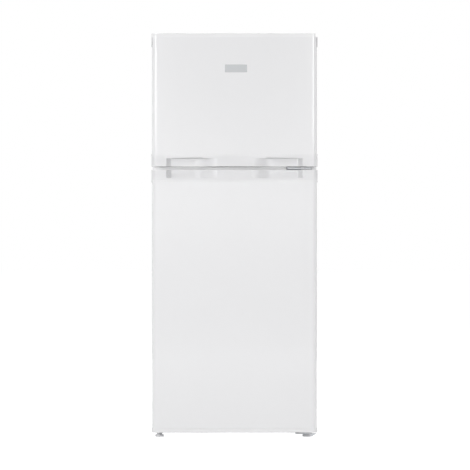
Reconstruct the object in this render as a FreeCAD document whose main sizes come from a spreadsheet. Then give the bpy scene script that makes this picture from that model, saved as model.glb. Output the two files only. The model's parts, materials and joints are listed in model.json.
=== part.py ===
import FreeCAD, Part
import math
import os
import re
import Sketcher

from FreeCAD import Rotation, Vector

# Top freezer refrigerator: two doors hung on the right, a foamed cabinet with a freezer
# compartment over a fresh food compartment, and the compressor in a recess at the back.
# Millimetres. The front faces -Y, +X is to the right and +Z is up. The origin is on the
# floor, at the middle of the whole outline. Both doors are shut.

# Driving dimensions: name and value.
SIZES = {
    # outline
    "overall_width": 545,
    "overall_depth": 556,
    "overall_height": 1329,
    "cabinet_width": 540,
    "cabinet_base": 40,
    "cabinet_top_drop": 7,
    "rear_standoff": 30,
    # doors
    "floor_gap": 22,
    "fridge_door_height": 860,
    "door_gap": 12,
    "door_depth": 48,
    "door_lip": 2,
    "front_round": 15,
    "rear_round": 4,
    "cap_height": 13,
    "ear_height": 29,
    "skin_return": 14,
    "grip_height": 40,
    "scoop_height": 26,
    "scoop_depth": 25,
    "scoop_run_in": 40,
    "scoop_lip": 0.2,
    "scoop_floor_start": 112,
    "scoop_floor_end": 223,
    "scoop_slope_start": 70,
    "scoop_rake": 14,
    "scoop_end_round": 6,
    "scoop_slope_round": 80,
    "finger_start": 134,
    "finger_end": 20,
    "finger_depth": 20,
    "finger_wall": 4,
    "finger_rise": 7,
    # gaskets
    "gasket_depth": 12,
    "gasket_width": 16,
    "gasket_seat": 21.5,
    "gasket_inset": 10,
    "gasket_inset_top": 14,
    "gasket_inset_floor": 30,
    "soft_gap": 0.3,
    # sheets and walls
    "sheet": 1,
    "liner": 2,
    "side_wall": 47,
    "back_wall": 56,
    "roof_wall": 42,
    "divider_cover": 28,
    "floor_wall": 48,
    "recess_height": 210,
    "recess_depth": 172,
    "recess_wall": 40,
    # raised rim of the door liners, which reaches into the compartment
    "rim_reach": 42,
    "rim_width": 22,
    "rim_side_gap": 7,
    "rim_end_gap": 12,
    # shelves
    "shelf_setback": 74,
    "shelf_gap": 4,
    "glass": 4,
    "trim_height": 12,
    "trim_depth": 11,
    "trim_wall": 3,
    "ledge_reach": 12,
    "ledge_height": 8,
    "lower_shelf_height": 480,
    "upper_shelf_height": 662,
    "wire_shelf_height": 1096,
    "wire": 5,
    "thin_wire": 3.4,
    "weld": 0.4,
    # door bins
    "bin_depth": 80,
    "rack_depth": 62,
    "bin_wall": 2.5,
    "bin_round": 18,
    "bin_rib": 6,
    "bin_rib_height": 10,
    "bin_rib_setback": 8,
    "bottle_bin_height": 110,
    "small_bin_height": 70,
    "rack_height": 60,
    "bottle_bin_rise": 16,
    "middle_bin_rise": 97,
    "upper_bin_rise": 97,
    "lower_rack_rise": 16,
    "upper_rack_rise": 16,
    # crisper
    "crisper_half": 196,
    "crisper_setback": 106,
    "crisper_wall": 2.5,
    "crisper_round": 14,
    "crisper_drop": 14,
    "crisper_lip": 16,
    "crisper_lip_reach": 8,
    "crisper_lip_margin": 40,
    # light and thermostat housing
    "housing_half": 118,
    "housing_height": 34,
    "housing_setback": 38,
    "housing_depth": 118,
    "housing_wall": 2.5,
    "housing_round": 6,
    "housing_roof": 4,
    "lamp_length": 92,
    "lamp_depth": 84,
    "lamp_setback": 24,
    "lens_drop": 10,
    "lens_wall": 1.5,
    "lens_round": 5,
    "bulb_radius": 8,
    "bulb_length": 56,
    "bulb_rise": 12,
    "bulb_socket": 14,
    "knob_radius": 19,
    "knob_height": 13,
    "knob_shaft": 3,
    "knob_stem": 14,
    "knob_grip": 6,
    "knob_grip_rise": 5,
    "plunger_radius": 4,
    "plunger_length": 20,
    "plunger_inset": 60,
    # hinges
    "hinge_side": 28,
    "hinge_front": 24,
    "plate": 3,
    "arm_half": 9,
    "pin_radius": 4,
    "pin_reach": 13,
    "bush_radius": 7,
    "bush_flange": 10,
    "bush_rim": 2.8,
    "bush_length": 16,
    "running_gap": 0.06,
    "fit_gap": 0.3,
    "pocket_depth": 10,
    "pocket_wall": 3,
    "middle_leaf_width": 84,
    "bottom_leaf_width": 55,
    "foot_leaf_width": 66,
    "leaf_round": 8,
    "tab_clearance": 24,
    "top_leaf_side": 44,
    "top_leaf_out": 16,
    "top_leaf_setback": 6,
    "top_leaf_depth": 40,
    "cover_margin": 6,
    "cover_wall": 1.2,
    "screw_inset": 12,
    "screw_head": 4.5,
    "screw_shank": 2.4,
    "screw_rise": 2.4,
    # feet
    "bracket_drop": 24,
    "left_foot_side": 249,
    "right_foot_side": 240,
    "foot_setback": 40,
    "riser_setback": 18,
    "bracket_rear": 66,
    "guard_drop": 9,
    "foot_radius": 14.5,
    "foot_pad": 7,
    "foot_neck": 7,
    "stud_radius": 5,
    "boss_radius": 9,
    "boss_height": 12,
    "rear_foot_radius": 15,
    "rear_foot_side": 238,
    # compressor recess
    "rail_depth": 104,
    "rail_setback": 30,
    "rail_lift": 18,
    "rail_sheet": 2,
    "compressor_side": 92,
    "compressor_radius": 66,
    "compressor_height": 150,
    "mount_plate_width": 190,
    "mount_plate_depth": 84,
    "mount_plate_round": 10,
    "grommet_inset": 14,
    "seam_rise": 82,
    "seam_reach": 2,
    "seam_height": 5,
    "stub_rise": 66,
    "stub_reach": 5,
    "grommet_radius": 9,
    "grommet_height": 13,
    "terminal_width": 34,
    "terminal_height": 62,
    "terminal_half": 32,
    "terminal_rise": 34,
    "terminal_round": 5,
    "tray_half": 70,
    "tray_depth": 92,
    "tray_height": 20,
    "tray_wall": 2,
    "tray_round": 12,
    "pipe_radius": 3,
    "pipe_bend": 18,
    "pipe_offset": 9,
    "suction_side": 90,
    "suction_bend": 7,
    "drier_radius": 9,
    "drier_length": 84,
    "drier_stub": 19,
    "drier_rise": 150,
    "drier_inset": 60,
    "outlet_rise": 40,
    "gland_radius": 9,
    "gland_bore": 3.6,
    "gland_length": 14,
    # condenser
    "condenser_half": 228,
    "condenser_low": 300,
    "condenser_top_gap": 60,
    "inlet_drop": 40,
    "condenser_pitch": 66,
    "condenser_radius": 2.5,
    "condenser_bend": 14,
    "return_offset": 18,
    "cross_wire": 0.8,
    "cross_wire_gap": 0.05,
    "cross_wire_pitch": 13,
    "wire_margin": 30,
    "wire_end": 15,
    "bracket_width": 16,
    "bracket_inset": 40,
    # evaporator plate behind the freezer liner
    "evaporator_half": 200,
    "evaporator_plate": 1.5,
    "evaporator_depth": 8,
    "evaporator_margin": 29,
    "channel_margin": 20,
    "evaporator_pitch": 60,
    # plate on the freezer door
    "badge_width": 72,
    "badge_height": 25,
    "badge_thickness": 1,
    "badge_drop": 115,
    "badge_side": 5,
    "badge_round": 3,
}

# Places that follow from the sizes.
PLACES = {
    "half_width": "overall_width / 2",
    "skin_half": "half_width - door_lip",
    "door_front": "badge_thickness - overall_depth / 2",
    "door_rear": "door_front + door_depth",
    "cabinet_front": "door_rear + gasket_depth",
    "cabinet_rear": "overall_depth / 2 - rear_standoff",
    "cabinet_half": "cabinet_width / 2",
    "cabinet_top": "overall_height - cabinet_top_drop",
    "fridge_door_low": "floor_gap",
    "fridge_door_high": "floor_gap + fridge_door_height",
    "freezer_door_low": "fridge_door_high + door_gap",
    "freezer_door_high": "overall_height",
    "room_half": "cabinet_half - side_wall",
    "room_rear": "cabinet_rear - back_wall",
    "fridge_floor": "cabinet_base + floor_wall",
    "fridge_ceiling": "fridge_door_high - divider_cover",
    "freezer_floor": "freezer_door_low + divider_cover",
    "freezer_ceiling": "cabinet_top - roof_wall",
    "frame_half": "room_half + liner",
    "recess_front": "cabinet_rear - recess_depth",
    "recess_roof": "cabinet_base + recess_height",
    "step_front": "recess_front - recess_wall",
    "step_top": "recess_roof + recess_wall",
    "shelf_front": "cabinet_front + shelf_setback",
    "shelf_rear": "room_rear - shelf_gap",
    "rim_half": "room_half - rim_side_gap",
    "rim_hollow": "rim_half - rim_width",
    "rim_back": "door_rear + rim_reach",
    "fridge_rim_low": "fridge_floor + rim_end_gap",
    "fridge_rim_high": "fridge_ceiling - rim_end_gap",
    "freezer_rim_low": "freezer_floor + rim_end_gap",
    "freezer_rim_high": "freezer_ceiling - rim_end_gap",
    "gasket_half": "room_half + gasket_seat",
    "axis_x": "half_width - hinge_side",
    "axis_y": "door_front + hinge_front",
    "gap_middle": "fridge_door_high + door_gap / 2",
    "bottom_leaf": "cabinet_base - bracket_drop",
    "housing_front": "cabinet_front + housing_setback",
    "housing_low": "fridge_ceiling - housing_height",
    "housing_rear": "housing_front + housing_depth",
    "fridge_bin_floor": "fridge_rim_low + rim_width",
    "fridge_bin_room": "fridge_rim_high - rim_width - fridge_bin_floor",
    "bottle_bin_low": "fridge_bin_floor + bottle_bin_rise",
    "middle_bin_low": "fridge_bin_floor + fridge_bin_room / 3 + middle_bin_rise",
    "upper_bin_low": "fridge_bin_floor + 2 * fridge_bin_room / 3 + upper_bin_rise",
    "freezer_bin_floor": "freezer_rim_low + rim_width",
    "freezer_bin_room": "freezer_rim_high - rim_width - freezer_bin_floor",
    "lower_rack_low": "freezer_bin_floor + lower_rack_rise",
    "upper_rack_low": "freezer_bin_floor + freezer_bin_room / 2 + upper_rack_rise",
    "evaporator_height": "freezer_ceiling - freezer_floor - 2 * evaporator_margin",
    "evaporator_low": "freezer_floor + evaporator_margin",
    "evaporator_high": "evaporator_low + evaporator_height",
    "crisper_front": "cabinet_front + crisper_setback",
    "crisper_rear": "step_front - shelf_gap",
    "condenser_plane": "overall_depth / 2 - condenser_radius - cross_wire_gap - 2 * cross_wire",
    "rail_rear": "cabinet_rear - rail_setback",
    "rail_middle": "rail_rear - rail_depth / 2",
    "rail_floor": "cabinet_base + rail_sheet",
    "compressor_foot": "rail_floor + grommet_height",
    "condenser_inlet": "condenser_low - inlet_drop",
    "drier_x": "drier_inset - condenser_half",
    "drier_top": "cabinet_base + drier_rise",
}

document = FreeCAD.newDocument("top_freezer_refrigerator")


def fill_sheet(name, rows):
    """A spreadsheet with a named cell for each row."""
    sheet = document.addObject("Spreadsheet::Sheet", name)
    for number, (alias, content) in enumerate(rows, 1):
        sheet.set(f"A{number}", alias)
        sheet.set(f"B{number}", content)
        sheet.setAlias(f"B{number}", alias)
    return sheet


def link(formula):
    """Turn the bare names in a formula into references to the two sheets."""
    def reference(match):
        word = match.group(0)
        if word in SIZES:
            return f"Sizes.{word}"
        if word in PLACES:
            return f"Places.{word}"
        raise KeyError(word)
    return re.sub(r"[a-z]\w*", reference, formula)


sizes = fill_sheet("Sizes", [(name, str(number)) for name, number in SIZES.items()])
document.recompute()
places = fill_sheet("Places", [(name, "=" + link(formula)) for name, formula in PLACES.items()])
document.recompute()


def size(name):
    """The number in a named cell, for what has no expression of its own."""
    return float((sizes if name in SIZES else places).get(name))


def bind(thing, **formulas):
    """Tie properties to formulas. A double underscore stands for a dot in the path."""
    for path, formula in formulas.items():
        thing.setExpression(path.replace("__", "."), link(formula))


def across(half):
    """The two places that lie the same way out on both sides of the middle."""
    return f"-({half})", half


# Basic shapes

def block(name, x, y, z):
    """A block between two places on each axis."""
    shape = document.addObject("Part::Box", name)
    for length, axis, (low, high) in zip(("Length", "Width", "Height"), "xyz", (x, y, z)):
        bind(shape, **{length: f"({high}) - ({low})", f"Placement__Base__{axis}": low})
    return shape


TURNS = {
    "z": Rotation(),
    "y": Rotation(Vector(1, 0, 0), -90),
    "x": Rotation(Vector(0, 1, 0), 90),
}


def rod(name, radius, length, start, axis="z"):
    """A round rod that runs from its start towards the positive end of an axis."""
    shape = document.addObject("Part::Cylinder", name)
    shape.Placement.Rotation = TURNS[axis]
    bind(shape, Radius=radius, Height=length, Placement__Base__x=start[0],
         Placement__Base__y=start[1], Placement__Base__z=start[2])
    return shape


def cut(name, base, *tools):
    """The base with the tools taken away."""
    result = document.addObject("Part::Cut", name)
    result.Base = base
    result.Tool = tools[0] if len(tools) == 1 else fuse(f"{name}_tools", *tools)
    return result


def fuse(name, *shapes):
    """Several shapes made one."""
    result = document.addObject("Part::MultiFuse", name)
    result.Shapes = list(shapes)
    return result


def named(shape, label):
    """The same shape under the name of its node."""
    shape.Label = label
    return shape


def group(name, shapes):
    """Separate solids that share one node."""
    result = document.addObject("Part::Compound", name)
    result.Links = list(shapes)
    return result


def attach(body, plane, name):
    """A sketch on one of the body's own origin planes."""
    sketch = body.newObject("Sketcher::SketchObject", name)
    support = [feature for feature in body.Origin.OriginFeatures if feature.Role == plane + "_Plane"]
    sketch.AttachmentSupport = [(support[0], "")]
    sketch.MapMode = "FlatFace"
    return sketch


def draw(sketch, outline):
    """A closed outline of straight sides whose corners follow formulas."""
    count = len(outline)
    start = [Vector(math.cos(2 * math.pi * n / count), math.sin(2 * math.pi * n / count), 0)
             for n in range(count)]
    for n in range(count):
        sketch.addGeometry(Part.LineSegment(start[n], start[(n + 1) % count]))
    for n in range(count):
        sketch.addConstraint(Sketcher.Constraint("Coincident", n, 2, (n + 1) % count, 1))
    for n, corner in enumerate(outline):
        for way, value, formula in zip(("DistanceX", "DistanceY"), start[n], corner):
            index = sketch.addConstraint(Sketcher.Constraint(way, -1, 1, n, 1, value))
            sketch.setExpression(f"Constraints[{index}]", link(formula))


def on_line(edge, point, direction):
    """Whether a straight edge lies along the line through the point."""
    ends = [vertex.Point - point for vertex in edge.Vertexes]
    return len(ends) == 2 and all(end.cross(direction).Length < 1e-4 for end in ends)


def round_corners(body, sketch, rounds):
    """Fillets on the upright edges at the numbered corners of the outline."""
    document.recompute()
    direction = sketch.Placement.Rotation.multVec(Vector(0, 0, 1))
    starts = [sketch.Placement.multVec(line.StartPoint) for line in sketch.Geometry]
    for radius, corners in rounds:
        base = body.Tip
        edges = [f"Edge{n}" for n, edge in enumerate(base.Shape.Edges, 1)
                 if any(on_line(edge, starts[corner], direction) for corner in corners)]
        fillet = body.newObject("PartDesign::Fillet", f"{body.Name}_fillet")
        fillet.Base = (base, edges)
        bind(fillet, Radius=radius)
        document.recompute()


def prism(name, plane, outline, span, rounds=()):
    """A body padded from an outline, between two places along the plane's normal."""
    low, high = span
    body = document.addObject("PartDesign::Body", name)
    sketch = attach(body, plane, f"{name}_outline")
    draw(sketch, outline)
    bind(sketch, AttachmentOffset__Base__z=f"-({high})" if plane == "XZ" else low)
    pad = body.newObject("PartDesign::Pad", f"{name}_pad")
    pad.Profile = sketch
    bind(pad, Length=f"({high}) - ({low})")
    round_corners(body, sketch, rounds)
    return body


FRONT_CORNERS = 0, 1
REAR_CORNERS = 2, 3


def slab(name, x, y, z, front="", rear=""):
    """An upright block with its front and its rear corners rounded."""
    outline = [(x[0], y[0]), (x[1], y[0]), (x[1], y[1]), (x[0], y[1])]
    rounds = [(radius, corners) for radius, corners in ((front, FRONT_CORNERS), (rear, REAR_CORNERS))
              if radius]
    return prism(name, "XY", outline, z, rounds)


def tray(name, x, y, z, wall, corner):
    """An open box with rounded corners."""
    outer = slab(f"{name}_outer", x, y, z, corner, corner)
    inner_x = f"{x[0]} + {wall}", f"{x[1]} - {wall}"
    inner_y = f"{y[0]} + {wall}", f"{y[1]} - {wall}"
    inner = slab(f"{name}_inner", inner_x, inner_y, (f"{z[0]} + {wall}", f"{z[1]} + 1"),
                 f"{corner} - {wall}", f"{corner} - {wall}")
    return cut(name, outer, inner)


def pipe(name, points, radius, bend):
    """A round tube along straight runs that are joined by tangent arcs."""
    edges = []
    start = points[0]
    for before, corner, after in zip(points, points[1:], points[2:]):
        way_in = (corner - before).normalize()
        way_out = (after - corner).normalize()
        reach = bend * math.tan(way_in.getAngle(way_out) / 2)
        arc_start = corner - way_in * reach
        arc_end = corner + way_out * reach
        inward = (way_out - way_in).normalize()
        depth = bend / math.cos(way_in.getAngle(way_out) / 2) - bend
        edges.append(Part.LineSegment(start, arc_start).toShape())
        edges.append(Part.Arc(arc_start, corner + inward * depth, arc_end).toShape())
        start = arc_end
    edges.append(Part.LineSegment(start, points[-1]).toShape())
    path = Part.Wire(edges)
    first = (points[1] - points[0]).normalize()
    profile = Part.Wire(Part.makeCircle(radius, points[0], first))
    tube = document.addObject("Part::Feature", name)
    tube.Shape = path.makePipeShell([profile], True, True)
    expected = math.pi * radius ** 2 * path.Length
    if abs(tube.Shape.Volume / expected - 1) > 0.01:
        raise ValueError(f"{name}: the tube's volume is off")
    return tube


# Cabinet

def cabinet_panels():
    """The steel outside: folded shell, front crossbars, back sheet and bottom sheet."""
    inside = across("cabinet_half - sheet")
    shell = cut(
        "cabinet_shell",
        block("shell_outer", across("cabinet_half"), ("cabinet_front", "cabinet_rear"),
              ("cabinet_base", "cabinet_top")),
        block("shell_inner", inside, ("cabinet_front + sheet", "cabinet_rear + 1"),
              ("cabinet_base - 1", "cabinet_top - sheet")),
        block("shell_window", across("frame_half"), ("cabinet_front - 1", "cabinet_front + 2 * sheet"),
              ("cabinet_base - 1", "freezer_ceiling + liner")))
    front_strip = "cabinet_front", "cabinet_front + sheet"
    middle = block("middle_crossbar", across("frame_half"), front_strip,
                   ("fridge_ceiling + liner", "freezer_floor - liner"))
    base = block("base_crossbar", across("frame_half"), front_strip,
                 ("cabinet_base", "fridge_floor - liner"))
    back = block("back_panel", inside, ("cabinet_rear - sheet", "cabinet_rear"),
                 ("recess_roof + sheet", "cabinet_top - sheet"))
    bottom = prism("base_panel", "YZ", [
        ("cabinet_front + sheet", "cabinet_base"),
        ("recess_front", "cabinet_base"),
        ("recess_front", "recess_roof"),
        ("cabinet_rear", "recess_roof"),
        ("cabinet_rear", "recess_roof + sheet"),
        ("recess_front - sheet", "recess_roof + sheet"),
        ("recess_front - sheet", "cabinet_base + sheet"),
        ("cabinet_front + sheet", "cabinet_base + sheet")], inside)
    return [shell, middle, base, back, bottom]


def room_outline(grow):
    """The fresh food compartment from the side, with the step over the compressor."""
    return [
        ("cabinet_front", f"fridge_floor - {grow}"),
        (f"step_front + {grow}", f"fridge_floor - {grow}"),
        (f"step_front + {grow}", f"step_top - {grow}"),
        (f"room_rear + {grow}", f"step_top - {grow}"),
        (f"room_rear + {grow}", f"fridge_ceiling + {grow}"),
        ("cabinet_front", f"fridge_ceiling + {grow}")]


def freezer_room(name, grow):
    """The freezer compartment as a block."""
    return block(name, across(f"room_half + {grow}"), ("cabinet_front", f"room_rear + {grow}"),
                 (f"freezer_floor - {grow}", f"freezer_ceiling + {grow}"))


def ledges(name, top, y):
    """A pair of ribs on the side walls that carry a shelf."""
    height = f"{top} - ledge_height", top
    return [
        block(f"{name}_left", ("-frame_half", "ledge_reach - room_half"), y, height),
        block(f"{name}_right", ("room_half - ledge_reach", "frame_half"), y, height)]


def cabinet_walls():
    """The two plastic liners and the foam between them and the steel."""
    shelf_run = "shelf_front + trim_depth", "room_rear"
    freezer = fuse(
        "freezer_liner",
        cut("freezer_liner_shell", freezer_room("freezer_liner_outer", "liner"),
            freezer_room("freezer_liner_inner", "0")),
        *ledges("wire_shelf_ledge", "wire_shelf_height", shelf_run))
    fridge = fuse(
        "fridge_liner",
        cut("fridge_liner_shell",
            prism("fridge_liner_outer", "YZ", room_outline("liner"), across("frame_half")),
            prism("fridge_liner_inner", "YZ", room_outline("0"), across("room_half"))),
        *ledges("crisper_cover_ledge", "step_top", ("shelf_front + trim_depth", "step_front")),
        *ledges("lower_shelf_ledge", "lower_shelf_height", shelf_run),
        *ledges("upper_shelf_ledge", "upper_shelf_height", shelf_run))
    foam = cut(
        "insulation_foam",
        block("foam_outer", across("cabinet_half - sheet"),
              ("cabinet_front + sheet", "cabinet_rear - sheet"),
              ("cabinet_base + sheet", "cabinet_top - sheet")),
        freezer_room("foam_freezer_room", "liner"),
        prism("foam_fridge_room", "YZ", room_outline("liner"), across("frame_half")),
        block("foam_recess", across("cabinet_half"), ("recess_front - sheet", "cabinet_rear"),
              ("cabinet_base", "recess_roof + sheet")),
        block("foam_evaporator_pocket", across("evaporator_half"),
              ("room_rear", "room_rear + liner + evaporator_depth"),
              ("evaporator_low", "evaporator_high")))
    return [freezer, fridge, foam]


def evaporator():
    """The rolled plate behind the freezer liner, with its channel pressed out at the back."""
    plate_back = "room_rear + liner + evaporator_plate"
    low, high = "evaporator_low", "evaporator_high"
    plate = block("evaporator_plate_sheet", across("evaporator_half"),
                  ("room_rear + liner", plate_back), (low, high))
    runs = int(size("evaporator_height") // size("evaporator_pitch"))
    channels = []
    for n in range(runs):
        height = f"{low} + evaporator_pitch * {n + 0.5}"
        channels.append(rod(f"evaporator_channel_{n}", "pipe_radius",
                            "2 * evaporator_half - 2 * channel_margin",
                            ("channel_margin - evaporator_half", plate_back, height), "x"))
    liner_side = block("evaporator_liner_side", across("evaporator_half"),
                       ("room_rear", "room_rear + liner"), (low, high))
    return [cut("evaporator", fuse("evaporator_sheet", plate, *channels), liner_side)]


# Shelves and what stands in the compartments

def glass_shelf(name, height):
    """A glass plate between two side gaps."""
    return block(name, across("room_half - shelf_gap"),
                 ("shelf_front + trim_wall", "shelf_rear - trim_wall"), (height, f"{height} + glass"))


def shelf_trim(name, height, x, y, slot):
    """A plastic edge that wraps the front or the rear of a glass plate."""
    low = f"{height} + glass / 2 - trim_height / 2"
    bar = slab(f"{name}_bar", x, y, (low, f"{low} + trim_height"))
    return cut(name, bar, block(f"{name}_slot", across("room_half"), slot, (height, f"{height} + glass")))


def shelves():
    """Two glass shelves, the glass over the crisper, their edges and the wire shelf."""
    heights = {
        "crisper_cover": "step_top",
        "lower_shelf": "lower_shelf_height",
        "upper_shelf": "upper_shelf_height",
    }
    glasses = [glass_shelf(f"{name}_glass", height) for name, height in heights.items()]
    trims = []
    for name, height in heights.items():
        trims.append(shelf_trim(f"{name}_front_trim", height, across("room_half - shelf_gap"),
                                ("shelf_front", "shelf_front + trim_depth"),
                                ("shelf_front + trim_wall", "shelf_front + trim_depth")))
    for name in ("lower_shelf", "upper_shelf"):
        trims.append(shelf_trim(f"{name}_rear_trim", heights[name],
                                across("room_half - ledge_reach - shelf_gap"),
                                ("shelf_rear - trim_depth", "shelf_rear"),
                                ("shelf_rear - trim_depth", "shelf_rear - trim_wall")))
    return glasses + [group("shelf_trims", trims), wire_shelf()]


def wire_shelf():
    """A coated wire shelf: thick cross bars under thin wires that run front to back."""
    edge = "room_half - shelf_gap - wire / 2"
    front = "shelf_front + wire / 2"
    rear = "shelf_rear - wire / 2"
    bar_height = "wire_shelf_height + wire / 2"
    bars = [rod(f"shelf_bar_{n}", "wire / 2", f"2 * ({edge}) + wire",
                (f"-({edge}) - wire / 2", f"({front}) * {1 - n / 3} + ({rear}) * {n / 3}", bar_height), "x")
            for n in range(4)]
    wire_height = "wire_shelf_height + wire + thin_wire / 2 - weld"
    wires = [rod(f"shelf_wire_{n}", "thin_wire / 2", f"({rear}) - ({front}) + wire",
                 (f"({edge}) * {n / 9 - 1}", f"{front} - wire / 2", wire_height), "y")
             for n in range(19)]
    return fuse("freezer_shelf", *bars, *wires)


def crisper():
    """The salad drawer, which stands on the floor of the compartment."""
    low = "fridge_floor + fit_gap"
    high = "step_top - crisper_drop"
    drawer = tray("crisper_tray", across("crisper_half"), ("crisper_front", "crisper_rear"),
                  (low, high), "crisper_wall", "crisper_round")
    lip = block("crisper_lip", across("crisper_half - crisper_lip_margin"),
                ("crisper_front - crisper_lip_reach", "crisper_front + crisper_wall / 2"),
                (f"{high} - crisper_lip", f"{high} - crisper_lip + crisper_wall"))
    turn_down = block("crisper_turn_down", across("crisper_half - crisper_lip_margin"),
                      ("crisper_front - crisper_lip_reach",
                       "crisper_front - crisper_lip_reach + crisper_wall"),
                      (f"{high} - 2 * crisper_lip", f"{high} - crisper_lip + crisper_wall"))
    return [fuse("crisper_drawer", drawer, lip, turn_down)]


def light_and_thermostat():
    """The housing under the ceiling, with its dial, lamp, lens and door switch."""
    low = "housing_low"
    lamp_x = "housing_wall - housing_half", "housing_wall - housing_half + lamp_length"
    lamp_y = "housing_front + lamp_setback", "housing_front + lamp_setback + lamp_depth"
    knob_at = "housing_half / 2", "(housing_front + housing_rear) / 2"
    switch_at = "plunger_inset", "fridge_rim_high - rim_width / 2"
    housing = cut(
        "thermostat_housing",
        slab("housing_outer", across("housing_half"), ("housing_front", "housing_rear"),
             (low, "fridge_ceiling"), "housing_round", "housing_round"),
        block("housing_lamp_room", lamp_x, lamp_y, (f"{low} - 1", "fridge_ceiling - housing_roof")),
        rod("housing_knob_bore", "knob_shaft + running_gap", "knob_stem + 2", (*knob_at, f"{low} - 1")),
        rod("housing_switch_bore", "plunger_radius + running_gap", "plunger_length + 1",
            (switch_at[0], "housing_front - 1", switch_at[1]), "y"))
    dial_top = f"{low} - fit_gap"
    dial_low = f"{dial_top} - knob_height"
    knob = fuse(
        "thermostat_knob",
        rod("knob_dial", "knob_radius", "knob_height", (*knob_at, dial_low)),
        rod("knob_shank", "knob_shaft", "knob_stem", (*knob_at, f"{dial_top} - 1")),
        block("knob_bar", (f"{knob_at[0]} - knob_grip / 2", f"{knob_at[0]} + knob_grip / 2"),
              (f"{knob_at[1]} - knob_radius + 2", f"{knob_at[1]} + knob_radius - 2"),
              (f"{dial_low} - knob_grip_rise", f"{dial_top} - 1")))
    lens = cut(
        "lamp_lens",
        slab("lens_outer", lamp_x, lamp_y, (f"{low} - lens_drop", low), "lens_round", "lens_round"),
        block("lens_inner", (f"{lamp_x[0]} + lens_wall", f"{lamp_x[1]} - lens_wall"),
              (f"{lamp_y[0]} + lens_wall", f"{lamp_y[1]} - lens_wall"),
              (f"{low} - lens_drop + lens_wall", f"{low} + 1")))
    bulb_y = "housing_front + lamp_setback + lamp_depth / 2"
    bulb_z = f"{low} + bulb_rise"
    bulb = fuse(
        "lamp_bulb",
        rod("bulb_glass", "bulb_radius", "bulb_length", (f"{lamp_x[0]} + bulb_socket", bulb_y, bulb_z), "x"),
        rod("bulb_base", "bulb_radius + 3", "bulb_socket", (lamp_x[0], bulb_y, bulb_z), "x"))
    plunger = rod("light_switch_plunger", "plunger_radius", "plunger_length",
                  (switch_at[0], "rim_back + fit_gap", switch_at[1]), "y")
    return [housing, knob, lens, bulb, plunger]


# Doors

def door_skin(name, z):
    """The painted steel front, folded round both sides and a little way over the back."""
    depth = "door_front", "door_rear"
    outer = slab(f"{name}_outer", across("skin_half"), depth, z, "front_round", "rear_round")
    inner = slab(f"{name}_inner", across("skin_half - sheet"),
                 ("door_front + sheet", "door_rear - sheet"), (f"{z[0]} - 1", f"{z[1]} + 1"),
                 "front_round - sheet", "rear_round - sheet")
    window = block(f"{name}_window", across("skin_half - skin_return"),
                   ("door_rear - 2 * sheet", "door_rear + 1"), (f"{z[0]} - 1", f"{z[1]} + 1"))
    return cut(name, outer, inner, window)


def frame_of_blocks(name, x, y, z, width):
    """A square ring that stands upright."""
    inner_x = f"{x[0]} + ({width})", f"{x[1]} - ({width})"
    inner_z = f"{z[0]} + ({width})", f"{z[1]} - ({width})"
    return cut(name, block(f"{name}_outer", x, y, z),
               block(f"{name}_inner", inner_x, (f"{y[0]} - 1", f"{y[1]} + 1"), inner_z))


def door_filling(door, z, rim_z):
    """The foam of a door and the liner that closes it, with its raised rim."""
    body = slab(f"{door}_foam_body", across("skin_half - sheet"),
                ("door_front + sheet", "door_rear - liner"), z, "front_round - sheet", "rear_round")
    core = frame_of_blocks(f"{door}_rim_core", across("rim_half - liner"),
                           ("door_rear - liner", "rim_back - liner"),
                           (f"{rim_z[0]} + liner", f"{rim_z[1]} - liner"), "rim_width - 2 * liner")
    foam = fuse(f"{door}_foam_whole", body, core)
    sheet = block(f"{door}_liner_sheet", across("skin_half - skin_return"),
                  ("door_rear - liner", "door_rear"), z)
    rim = frame_of_blocks(f"{door}_rim", across("rim_half"), ("door_rear - liner", "rim_back"),
                          rim_z, "rim_width")
    return foam, sheet, rim, core


def door_gasket(name, z):
    """The magnetic seal round a door."""
    ring_y = "door_rear", "cabinet_front - soft_gap"
    return frame_of_blocks(name, across("gasket_half"), ring_y, z, "gasket_width")


def door_bin(name, depth, low, height):
    """An open bin that hangs between the sides of the raised rim."""
    return tray(name, across("rim_hollow - fit_gap"), ("door_rear + fit_gap", f"door_rear + {depth}"),
                (low, f"{low} + {height}"), "bin_wall", "bin_round")


def bin_ribs(name, low):
    """Two ribs inside the rim that carry a bin."""
    y = "door_rear", "rim_back - bin_rib_setback"
    z = f"{low} - bin_rib_height", low
    return [
        block(f"{name}_left", ("-rim_hollow", "bin_rib - rim_hollow"), y, z),
        block(f"{name}_right", ("rim_hollow - bin_rib", "rim_hollow"), y, z)]


def scoop_outline(side):
    """One recess of the grip from above: a soft slope, a floor and a steep end wall."""
    return [
        (f"{side} * scoop_run_in", "door_front - 1"),
        (f"{side} * scoop_run_in", "door_front - scoop_lip"),
        (f"{side} * scoop_slope_start", "door_front - scoop_lip"),
        (f"{side} * scoop_floor_start", "door_front + scoop_depth"),
        (f"{side} * (scoop_floor_end - scoop_rake)", "door_front + scoop_depth"),
        (f"{side} * scoop_floor_end", "door_front"),
        (f"{side} * scoop_floor_end", "door_front - 1")]


def door_grip(name, z, scoop_z, finger_z):
    """The plastic end piece of a door, with two finger recesses towards the gap."""
    bar = slab(f"{name}_bar", across("half_width"), ("door_front", "door_rear"), z,
               "front_round + door_lip", "rear_round + door_lip")
    tools = [bore for side in (-1, 1) for bore in (
        prism(f"{name}_scoop_{side + 1}", "XY", scoop_outline(side), scoop_z,
              [("scoop_end_round", (4,)), ("scoop_slope_round", (2, 3))]),
        block(f"{name}_finger_{side + 1}",
              sorted((f"{side} * finger_start", f"{side} * (scoop_floor_end - finger_end)"),
                     key=lambda formula: ("end" in formula) == (side > 0)),
              ("door_front + finger_wall", "door_front + finger_wall + finger_depth"), finger_z))]
    return bar, tools


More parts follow.
